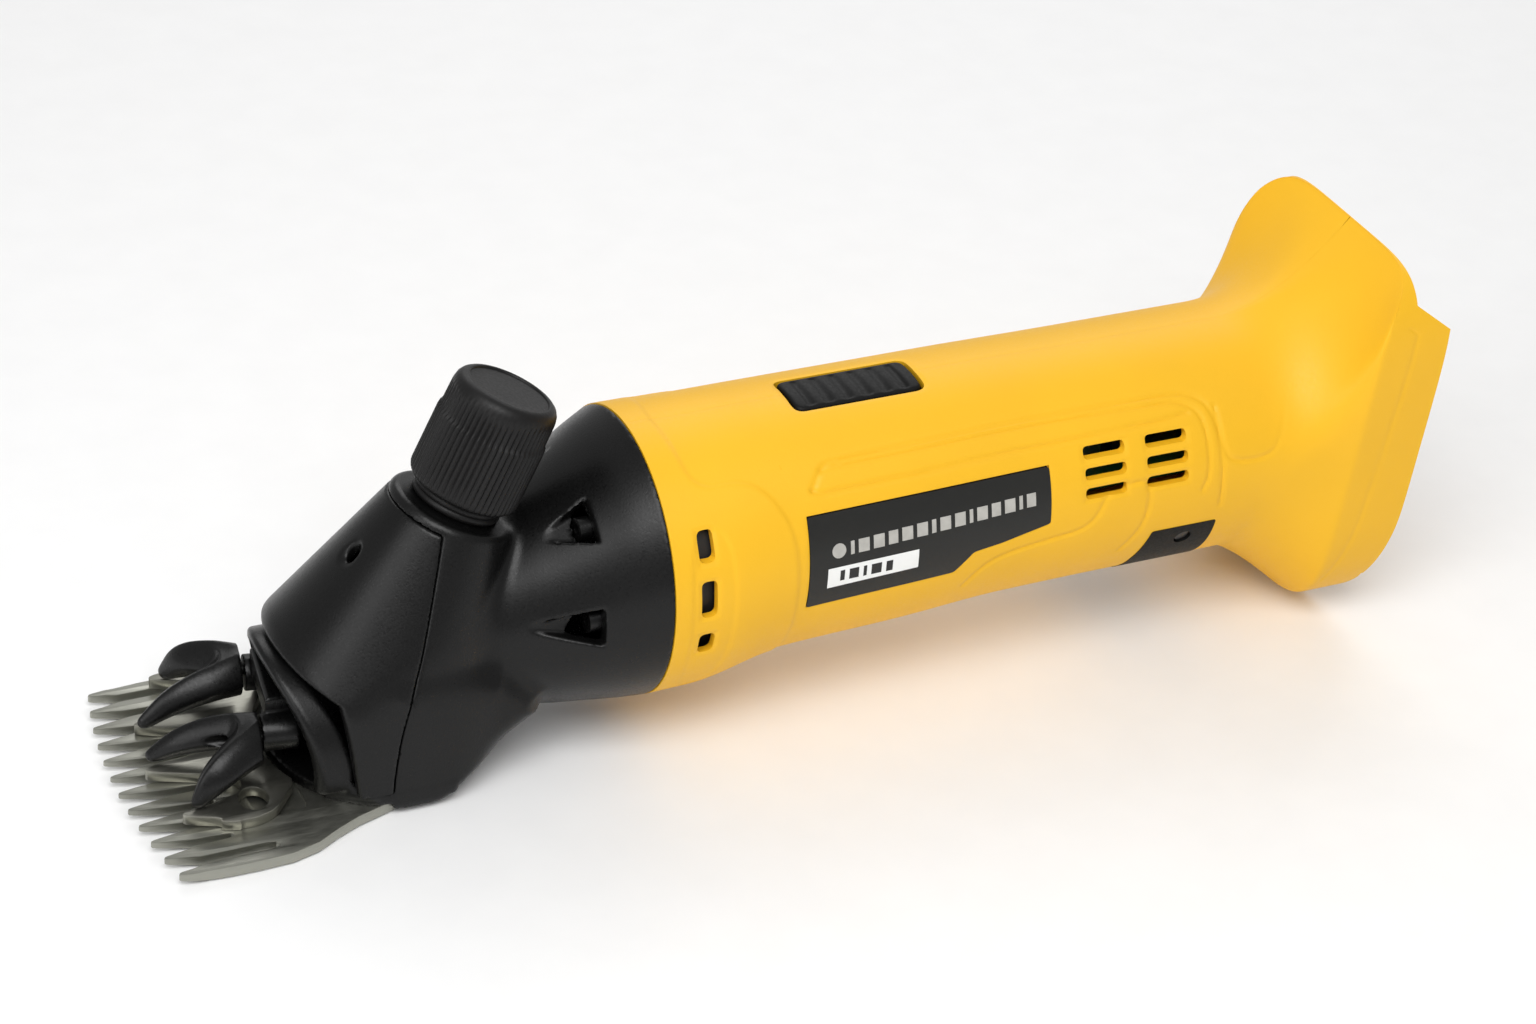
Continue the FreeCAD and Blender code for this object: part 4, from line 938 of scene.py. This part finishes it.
def scoop_field(x, y, z):
    """Screw pockets in the bell with a flat floor, tapering forwards to a point."""
    pockets = []
    for angle, seat, length, half in SCOOPS:
        c, s = math.cos(math.radians(angle)), math.sin(math.radians(angle))
        out = np.abs(y) * c + (z - POCKET_AXIS) * s
        side = -np.abs(y) * s + (z - POCKET_AXIS) * c
        ahead = seat - x
        width = half * (1 - 0.9 * np.clip(ahead / length, 0, 1.2)) + 0.12 * (out - 27)
        floor = POCKET_FLOOR - 0.09 * ahead
        one = smax(smax(-ahead, floor - out, 0.8), np.abs(side) - width, 1.0)
        pockets.append(np.maximum(np.maximum(one, ahead - length * 1.1), POCKET_END - x))
    return np.minimum(*pockets)


def cover_field(x, y, z):
    outer = head_field(x, y, z)
    shell = smax(outer, -(outer + CAST_WALL), 0.3)
    shell = smax(shell, seam_field(x, y, z) + 0.16, 0.7)
    shell = smax(shell, -polygon_field(x, z, MOUTH), 1.2)
    hole = rod_field(x, y, z, *OIL_HOLE)
    dish = distance(x - OIL_DISH[0], y - OIL_DISH[1], z - OIL_DISH[2]) - OIL_DISH[3]
    shell = smax(shell, -smin(hole, dish, 0.8), 1.0)
    return np.maximum(shell, BED_TOP + 0.1 - z - np.where(x > -68.2, FAR, 0))


def mouth_field(x, y, z):
    """Arched band at the mouth with its feet, the curtain behind it and the lip on the bed."""
    arch, from_pivot = distance(y, z - BAND_Z), distance(x - PIVOT, y)
    around = np.abs(arch - BAND_RADIUS) - BAND_HALF
    through = np.abs(distance(x - NOSE_CENTRE, y) - BAND_REACH) - BAND_DEPTH
    band = smax(around, through, 1.2)
    band = np.maximum(smax(band, BED_TOP + 0.7 - z, 0.6), x - BAND_BACK)
    curtain = np.maximum(arch - CURTAIN_RADIUS, np.abs(x - CURTAIN_X) - 1.5)
    curtain = smax(curtain, CURTAIN_FOOT - z, 0.6)
    foot = smax(smax(around, through, 0.4), from_pivot - BED_RADIUS, 0.4)
    foot = np.maximum(np.maximum(foot, np.maximum(z - BAND_FOOT_TOP, COMB_TOP - z)), x - BAND_BACK)
    angle = np.degrees(np.arctan2(np.abs(y), PIVOT - x))
    lip = smax(np.abs(from_pivot - LIP_RADIUS) - 0.8, np.abs(z - LIP_Z) - 1.3, 0.8)
    lip = np.maximum(smax(lip, LIP_ANGLE - angle, 2.0), x - LIP_BACK)
    return smin(lip, smin(smin(band, curtain, 0.6), foot, 0.6), 0.8)


def casting_field(x, y, z):
    outer = head_field(x, y, z)
    shell = smax(outer, -scoop_field(x, y, z), 0.8)
    shell = smax(shell, -(outer + CAST_WALL), 0.3)
    shell = smax(shell, -seam_field(x, y, z), 0.7)
    along, across = knob_coordinates(x, y, z)
    neck = smax(np.maximum(across - NECK_RADIUS, -NECK_DEPTH - along), along, 0.9)
    bed = np.maximum(distance(x - PIVOT, y) - BED_RADIUS, x - BED_BACK)
    bed = smax(smax(bed, np.abs(y) - CHEEK, 1.5), distance(x - NOSE_CENTRE, y) - NOSE_RADIUS, 0.8)
    bed = smax(np.maximum(bed, COMB_TOP - z), z - BED_TOP, 0.6)
    solid = smin(smin(smin(shell, neck, 0.5), bed, 0.8), mouth_field(x, y, z), 1.0)
    solid = np.maximum(solid, SLEEVE_BORE - across - np.where(along < -SLEEVE_DEPTH, FAR, 0))
    return np.maximum(solid, PIN_BORE - across - np.where(along < -PIN_DEPTH, FAR, 0))


def make_head(mats):
    place_net("cast_cover", cover_field, (-93, -31, -41), (-42, 31, 30), 0.55,
              "housing", mats["black_cast"], "black_casting", "head_cover")
    place_net("cast_body", casting_field, (-95, -38, -46), (1, 38, 36), 0.65,
              "housing", mats["black_cast"], "black_casting", "head_casting")


# ---------------------------------------------------------------- tension knob
KNOB_LOW, KNOB_ROOF = 4.3, 15.2  # rim above the collar, depth of the hollow
KNOB_RIBS, RIB_POINTS, RIB_DEPTH = 56, 8, 0.5
KNOB_PROFILE = [  # radius, height, share of the ribs' depth
    (9.4, 0.5, 0), (12.2, 0.0, 0), (13.1, 0.15, 0), (13.7, 0.8, 0.4), (14.1, 1.8, 1.0), (14.1, 6, 1.0),
    (14.1, 12, 1.0), (14.08, 17.2, 1.0), (14.0, 17.9, 1.0), (13.6, 18.4, 1.0), (13.55, 19.5, 1.0),
    (13.5, 22.5, 1.0), (13.45, 24.2, 0.6), (13.4, 25.0, 0.1), (13.1, 26.3, 0), (12.5, 27.3, 0),
    (11.7, 27.9, 0), (11.0, 28.15, 0), (10.6, 28.2, 0), (10.35, 28.05, 0), (10.25, 27.7, 0),
    (10.0, 27.62, 0), (6, 27.7, 0), (0.05, 27.75, 0)]


def make_knob(mats):
    columns = KNOB_RIBS * RIB_POINTS
    theta = np.arange(columns) * 2 * np.pi / columns
    wave = 0.5 + 0.5 * np.cos(theta * KNOB_RIBS)
    cut = RIB_DEPTH * (1 - wave ** 0.7)
    side = np.array([math.cos(KNOB_LEAN), 0, -math.sin(KNOB_LEAN)])
    other = np.array([0, 1.0, 0])

    def ring(radius, height):
        centre = COLLAR + KNOB_DIR * (KNOB_LOW + height)
        return centre + side * (radius * np.cos(theta))[:, None] + other * (radius * np.sin(theta))[:, None]

    rings = [ring(KNOB_PROFILE[-1][0], KNOB_ROOF), ring(KNOB_PROFILE[0][0], KNOB_ROOF)]
    rings += [ring(radius - cut * ribbed, height) for radius, height, ribbed in KNOB_PROFILE]
    faces, index = grid_faces(len(rings), columns)
    knob = outward(new_object("ribbed_knob", np.concatenate(rings), faces + [index[0][::-1], index[-1]]))
    place(sharpen(knob, 50), "knob", mats["knob"], "black_plastic", "tension_knob")


# ---------------------------------------------------------------- fork and claws
SWING = math.radians(-8.8)
CLAW_Y, CLAW_Z, CLAW_TIP = 14.5, -30.0, -37.3
CLAW_BACK, HUB_RADIUS, CLAW_BORE = -94.2, 5.4, 1.55
OUTER_HORN = [(-95.0, 16.5, -30, 6.8), (-100, 20.5, -30.6, 6.0), (-106, 24.7, -33.0, 4.8),
              (-110.4, 27, CLAW_TIP, 2.3)]
INNER_HORN = [(-95.0, 12.5, -30, 6.2), (-103, 10, -30.6, 5.4), (-112, 8.2, -33.4, 4.0),
              (-118.4, 7, CLAW_TIP, 2.2)]
RIDGE, RIDGE_SIDE, RIDGE_REST, RIDGE_SIZE = 0.8, 0.80, 0.62, 0.92
FORK_BOTTOM, FORK_TOP, FORK_HUB = -28.5, -16.6, 9.0
ARM_Z, ARM_HALF, TAIL_Z, TAIL_HALF, SLOPE_HALF = -24.5, 3.5, -22.3, 4.7, 8
PIN_HOLE = 1.5
FORK_ARM = [(-58, -8.5), (-58, 8.5), (-92, 11.5), (-92, -11.5)]
FORK_SLOPE = [(-64, -24), (-86, -24), (-86, -21), (-66, -17.8)]
FORK_TAIL = [(-40, -7.5), (-40, 7.5), (-60, 8.5), (-60, -8.5)]
TAIL_POSTS, POST_GAP, TAIL_REACH = ((-49.5, -7.5, -27), (-40, 7.5, -6)), 4.3, 14.8
LUG, LUG_INSIDE = ((-93.4, 12.8, -29.8), (-84.5, 12.8, -29.8), 4.6), 8
PIN_CUP, POST_CUP = (-14.06, 3.56), (-30.6, 4.5)  # height, radius


def turned(x, y, angle):
    """Turns about the fork's pivot."""
    c, s = math.cos(angle), math.sin(angle)
    dx = x - PIVOT
    return PIVOT + dx * c - y * s, dx * s + y * c


def swung_points(points):
    """From the middle of the fork's stroke to where it rests."""
    x, y, z = np.asarray(points, float).T
    return np.column_stack([*turned(x, y, SWING), z])


def path_points(stations, count=26):
    """Smooth path through the stations, each (x, y, z, radius)."""
    pts = np.asarray(stations, float)
    at = np.concatenate([[0], np.cumsum(np.linalg.norm(np.diff(pts[:, :3], axis=0), axis=1))])
    t = np.linspace(0, at[-1], count)
    slopes = np.gradient(pts, at, axis=0)
    i = np.clip(np.searchsorted(at, t, side="right") - 1, 0, len(at) - 2)
    step = (at[i + 1] - at[i])[:, None]
    return hermite((t - at[i])[:, None] / step, step, pts[i], pts[i + 1], slopes[i], slopes[i + 1])


def horn_field(x, y, z, stations):
    """Tapered curved finger with a soft ridge along its back."""
    path = path_points(stations)
    best = None
    for a, b in zip(path[:-1], path[1:]):
        e = b[:3] - a[:3]
        t = np.clip(((x - a[0]) * e[0] + (y - a[1]) * e[1] + (z - a[2]) * e[2]) / float(e @ e), 0, 1)
        dx, dy, dz = x - a[0] - e[0] * t, y - a[1] - e[1] * t, z - a[2] - e[2] * t
        radius = a[3] + (b[3] - a[3]) * t
        side = (dx * -e[1] + dy * e[0]) / np.hypot(e[0], e[1])
        away = distance(dx, dy, dz)
        rest = np.sqrt(np.maximum(away * away - side * side, 0))
        roof = np.abs(side) * RIDGE_SIDE + rest * RIDGE_REST - radius * RIDGE_SIZE
        d = smax(away - radius, roof, radius * RIDGE)
        best = d if best is None else smin(best, d, 0.35)
    return best


def claw_field(x, y, z, side):
    x, y = turned(x, y, -SWING)
    y = y * side
    body = rod_field(x, y, z, (-99, CLAW_Y, CLAW_Z), (CLAW_BACK, CLAW_Y, CLAW_Z), HUB_RADIUS)
    for horn in (OUTER_HORN, INNER_HORN):
        body = smin(body, horn_field(x, y, z, horn), 2.0)
    body = smax(body, x - CLAW_BACK, 0.3)
    return smax(body, CLAW_BORE - distance(y - CLAW_Y, z - CLAW_Z), 0.3)


def fork_field(x, y, z):
    x, y = turned(x, y, -SWING)
    from_pivot = distance(x - PIVOT, y)
    middle, half = (FORK_TOP + FORK_BOTTOM) / 2, (FORK_TOP - FORK_BOTTOM) / 2
    hub = smax(from_pivot - FORK_HUB, np.abs(z - middle) - half, 0.8)
    arm = smax(polygon_field(x, y, FORK_ARM), np.abs(z - ARM_Z) - ARM_HALF, 1.4)
    slope = smax(polygon_field(x, z, FORK_SLOPE), np.abs(y) - SLOPE_HALF, 1.2)
    tail = smax(polygon_field(x, y, FORK_TAIL), np.abs(z - TAIL_Z) - TAIL_HALF, 0.6)
    posts = np.maximum(box_field(x, y, z, *TAIL_POSTS), POST_GAP - np.abs(y))
    tail = smax(smin(tail, posts, 0.4), from_pivot - TAIL_REACH, 0.4)
    lugs = np.maximum(rod_field(x, np.abs(y), z, *LUG), LUG_INSIDE - np.abs(y))
    body = smin(smin(smin(hub, arm, 1.5), smin(tail, lugs, 0.8), 1.0), slope, 1.2)
    for height, radius in (PIN_CUP, POST_CUP):
        body = np.maximum(body, radius - distance(x - PIVOT, y, z - height))
    return np.maximum(body, PIN_HOLE - distance(np.abs(y) - CLAW_Y, z - CLAW_Z))


def make_claw(mats, side, node):
    low, high = frame_box(node)
    place_net("forged_" + node, lambda x, y, z: claw_field(x, y, z, side), low - 1.0, high + 1.0, 0.4,
              node, mats["black_steel"], "black_steel", node)


def make_fork(mats):
    place_net("cast_fork", fork_field, (-98, -26, -36), (-43, 31, -5), 0.5,
              "fork", mats["black_steel"], "black_steel", "fork")
    make_claw(mats, 1, "claw_right")
    make_claw(mats, -1, "claw_left")


# ---------------------------------------------------------------- comb and cutter
COMB_BOTTOM, COMB_BEVEL, CUTTER_BEVEL = -45.5, 0.22, 0.3
COMB_RIM = [(-57.5, 22), (-60, 25), (-71.9, 29), (-77.6, 30.8), (-83.7, 33.6), (-90, 37.2), (-97, 39.2),
            (-106, 39.5), (-112, 39.4), (-118, 39.0)]
COMB_UNDER = [(-140, -40), (-140, -42.9), (-131, -43.5), (-116, COMB_BOTTOM), (-50, COMB_BOTTOM), (-50, -40)]
COMB_TEETH, TOOTH_PITCH, TOOTH_BASE = 12, 6.9, (-118, 2.05)
COMB_TIP_X, COMB_TIP_RADIUS = -129.3, 164.0
SLOT_ROOT, SLOT_HALF = -108.0, 0.95
OUTER_SLOT_ROOT, OUTER_SLOT_HALF = -99.0, 1.35
COMB_HOLLOW, HOLLOW_HEIGHTS = (-101, -24, -88, 24), (-43.3, -41)
COMB_SCREW_X, COMB_SCREW_Y, COMB_SCREW_HOLE = -68, 15, 2.25
CUTTER_TEETH, CUTTER_PITCH, CUTTER_REACH, CUTTER_ROOT = 4, 19.0, 62.0, -103.0
CUTTER_BACK, BACK_ANGLE, BACK_HALF = 33.4, math.radians(52), 22
CUTTER_CORNER = [(-101, -33.3), (-97.5, -33.0), (-93.6, -31.2), (-91.0, -28.4), (-89.6, -25.6)]
CUTTER_HOLE = (-97.2, 25.5, 3.6, 4.6)  # place and half sizes


def flat_plate(name, outlines, z0, z1, bevel, transform=np.asarray):
    """Plate with rounded edges from plan outlines; the first is the rim, the rest are holes."""
    middle = (z0 + z1) / 2
    curve = bpy.data.curves.new(name, "CURVE")
    curve.dimensions = "2D"
    curve.fill_mode = "BOTH"
    curve.extrude = ((z1 - z0) / 2 - bevel) * MM
    curve.bevel_depth = bevel * MM
    curve.bevel_resolution = 1
    curve.offset = -bevel * MM
    for outline in outlines:
        points = to_frame(transform([(x, y, middle) for x, y in outline]))
        spline = curve.splines.new("POLY")
        spline.points.add(len(points) - 1)
        spline.use_cyclic_u = True
        for spot, (x, y, _) in zip(spline.points, points):
            spot.co = (x, y, 0, 1)
    drawn = linked(name, curve)
    graph = bpy.context.evaluated_depsgraph_get()
    mesh = bpy.data.meshes.new_from_object(drawn.evaluated_get(graph))
    bpy.data.objects.remove(drawn)
    mesh.transform(Matrix.Translation((0, 0, to_frame([(0, 0, middle)])[0][2])))
    return outward(linked(name, mesh), WELD)


def comb_outline():
    """Half the rim, then the teeth and slots from one side to the other, then the other half."""
    centre = COMB_TIP_X + COMB_TIP_RADIUS
    last = COMB_TEETH - 1
    points = []
    for i in range(COMB_TEETH):
        y = (last / 2 - i) * TOOTH_PITCH
        tip = centre - math.sqrt(COMB_TIP_RADIUS ** 2 - y * y)
        edge = 1.2 if 0 < i < last else 1.1
        tooth = [TOOTH_BASE, (tip + 4.2, edge), (tip + 1.2, 0.72), (tip + 0.3, 0.42), (tip + 0.05, 0)]
        points += both_sides(tooth, y)
        if i < last:
            outer = i in (0, last - 1)
            root, half = (OUTER_SLOT_ROOT, OUTER_SLOT_HALF) if outer else (SLOT_ROOT, SLOT_HALF)
            slot = [(root - 3, half), (root - 0.6, 0.7 * half), (root, 0)]
            points += both_sides(slot, y - TOOTH_PITCH / 2)
    return COMB_RIM + points[1:-1] + [(x, -y) for x, y in COMB_RIM[::-1]]


def make_comb(mats):
    plate = flat_plate("ground_comb", [comb_outline()], COMB_BOTTOM, COMB_TOP, COMB_BEVEL)
    plate = boolean(plate, [side_prism("under", COMB_UNDER, -60, 60)], "INTERSECT")
    hollow = flat_plate("hollow", [rounded(rectangle(*COMB_HOLLOW), 3)], *HOLLOW_HEIGHTS, 0.2)
    plate = boolean(plate, [hollow], "DIFFERENCE")
    for side in SIDES:
        ends = [(COMB_SCREW_X, side * COMB_SCREW_Y, z) for z in (-47, -40)]
        plate = boolean(plate, [rod_mesh("hole", *ends, COMB_SCREW_HOLE)], "DIFFERENCE")
    place(sharpen(plate, 30), "housing", mats["comb_steel"], "ground_steel", "comb")


def make_cutter(mats):
    root = CUTTER_ROOT
    rim = []
    for i in range(CUTTER_TEETH):
        y = ((CUTTER_TEETH - 1) / 2 - i) * CUTTER_PITCH
        tip = PIVOT - math.sqrt(CUTTER_REACH ** 2 - y * y)
        point = [(tip + 9, 3.1), (tip + 4, 2.0), (tip + 0.9, 0.95), (tip + 0.1, 0.3)]
        rim += both_sides([(root + 1.5, 5.2), (root - 3, 4.6)] + point, y)
        if i < CUTTER_TEETH - 1:
            rim += both_sides([(root + 3.4, 2.2), (root + 3.9, 0)], y - CUTTER_PITCH / 2)
    turns = np.linspace(-BACK_ANGLE, BACK_ANGLE, 15)
    back = [(PIVOT - CUTTER_BACK * math.cos(a), CUTTER_BACK * math.sin(a)) for a in turns]
    rim += CUTTER_CORNER + [p for p in back if abs(p[1]) < BACK_HALF]
    rim += [(x, -y) for x, y in CUTTER_CORNER[::-1]]
    x, y, half_x, half_y = CUTTER_HOLE
    turns = np.arange(24) * math.pi / 12
    holes = [[(x + half_x * math.cos(a), side * y + half_y * math.sin(a)) for a in turns] for side in SIDES]
    plate = flat_plate("ground_cutter", [softened(rim, 1, True)] + holes, COMB_TOP + 0.05, BED_TOP,
                       CUTTER_BEVEL, swung_points)
    place(sharpen(plate, 30), "fork", mats["cutter_steel"], "ground_steel", "cutter")


# ---------------------------------------------------------------- switch
SWITCH_GAP, SWITCH_SUNK, SWITCH_FLOOR = (0.8, 0.6), 0.55, 27.0
WAVES, WAVE_HEIGHT, WAVE_MARGIN, WAVE_FADE = 5, 0.55, 5.0, 0.06


def switch_field(x, y, z):
    """Rocker top that follows the barrel, with ribs across it and an ear for its pin."""
    front, rear, half = SWITCH
    gap_x, gap_y = SWITCH_GAP
    outline = rounded(rectangle(front + gap_x, -half + gap_y, rear - gap_x, half - gap_y), 2.6)
    radius, centre = ring_at(BARREL, x)
    top = distance(y, z - centre) - radius + SWITCH_SUNK
    along = (x - front - WAVE_MARGIN) / (rear - front - 2 * WAVE_MARGIN)
    waves = WAVE_HEIGHT * (0.5 + 0.5 * np.cos(along * 2 * math.pi * WAVES)) ** 1.5
    waves = waves * ease((along + WAVE_FADE) / WAVE_FADE) * ease((1 + WAVE_FADE - along) / WAVE_FADE)
    top = top + waves * ease((half - 1.2 - np.abs(y)) / 1.2)
    body = smax(smax(top, polygon_field(x, y, outline), 1.2), SWITCH_FLOOR - z, 0.3)
    return smin(body, box_field(x, y, z, (57, -2.5, 26.6), (64.6, 2.5, 30)), 0.2)


def make_switch(mats):
    front, rear, half = SWITCH
    place_net("ribbed_switch", switch_field, (front, -half, 26), (rear, half, 37), 0.32,
              "switch", mats["switch"], "black_plastic", "switch_rocker")


def main():
    set_stage(set_camera())
    mats = make_materials()
    finish_nodes(mats)
    for make in (make_body, make_plates, make_head, make_knob, make_fork, make_comb, make_cutter,
                 make_switch):
        make(mats)


main()
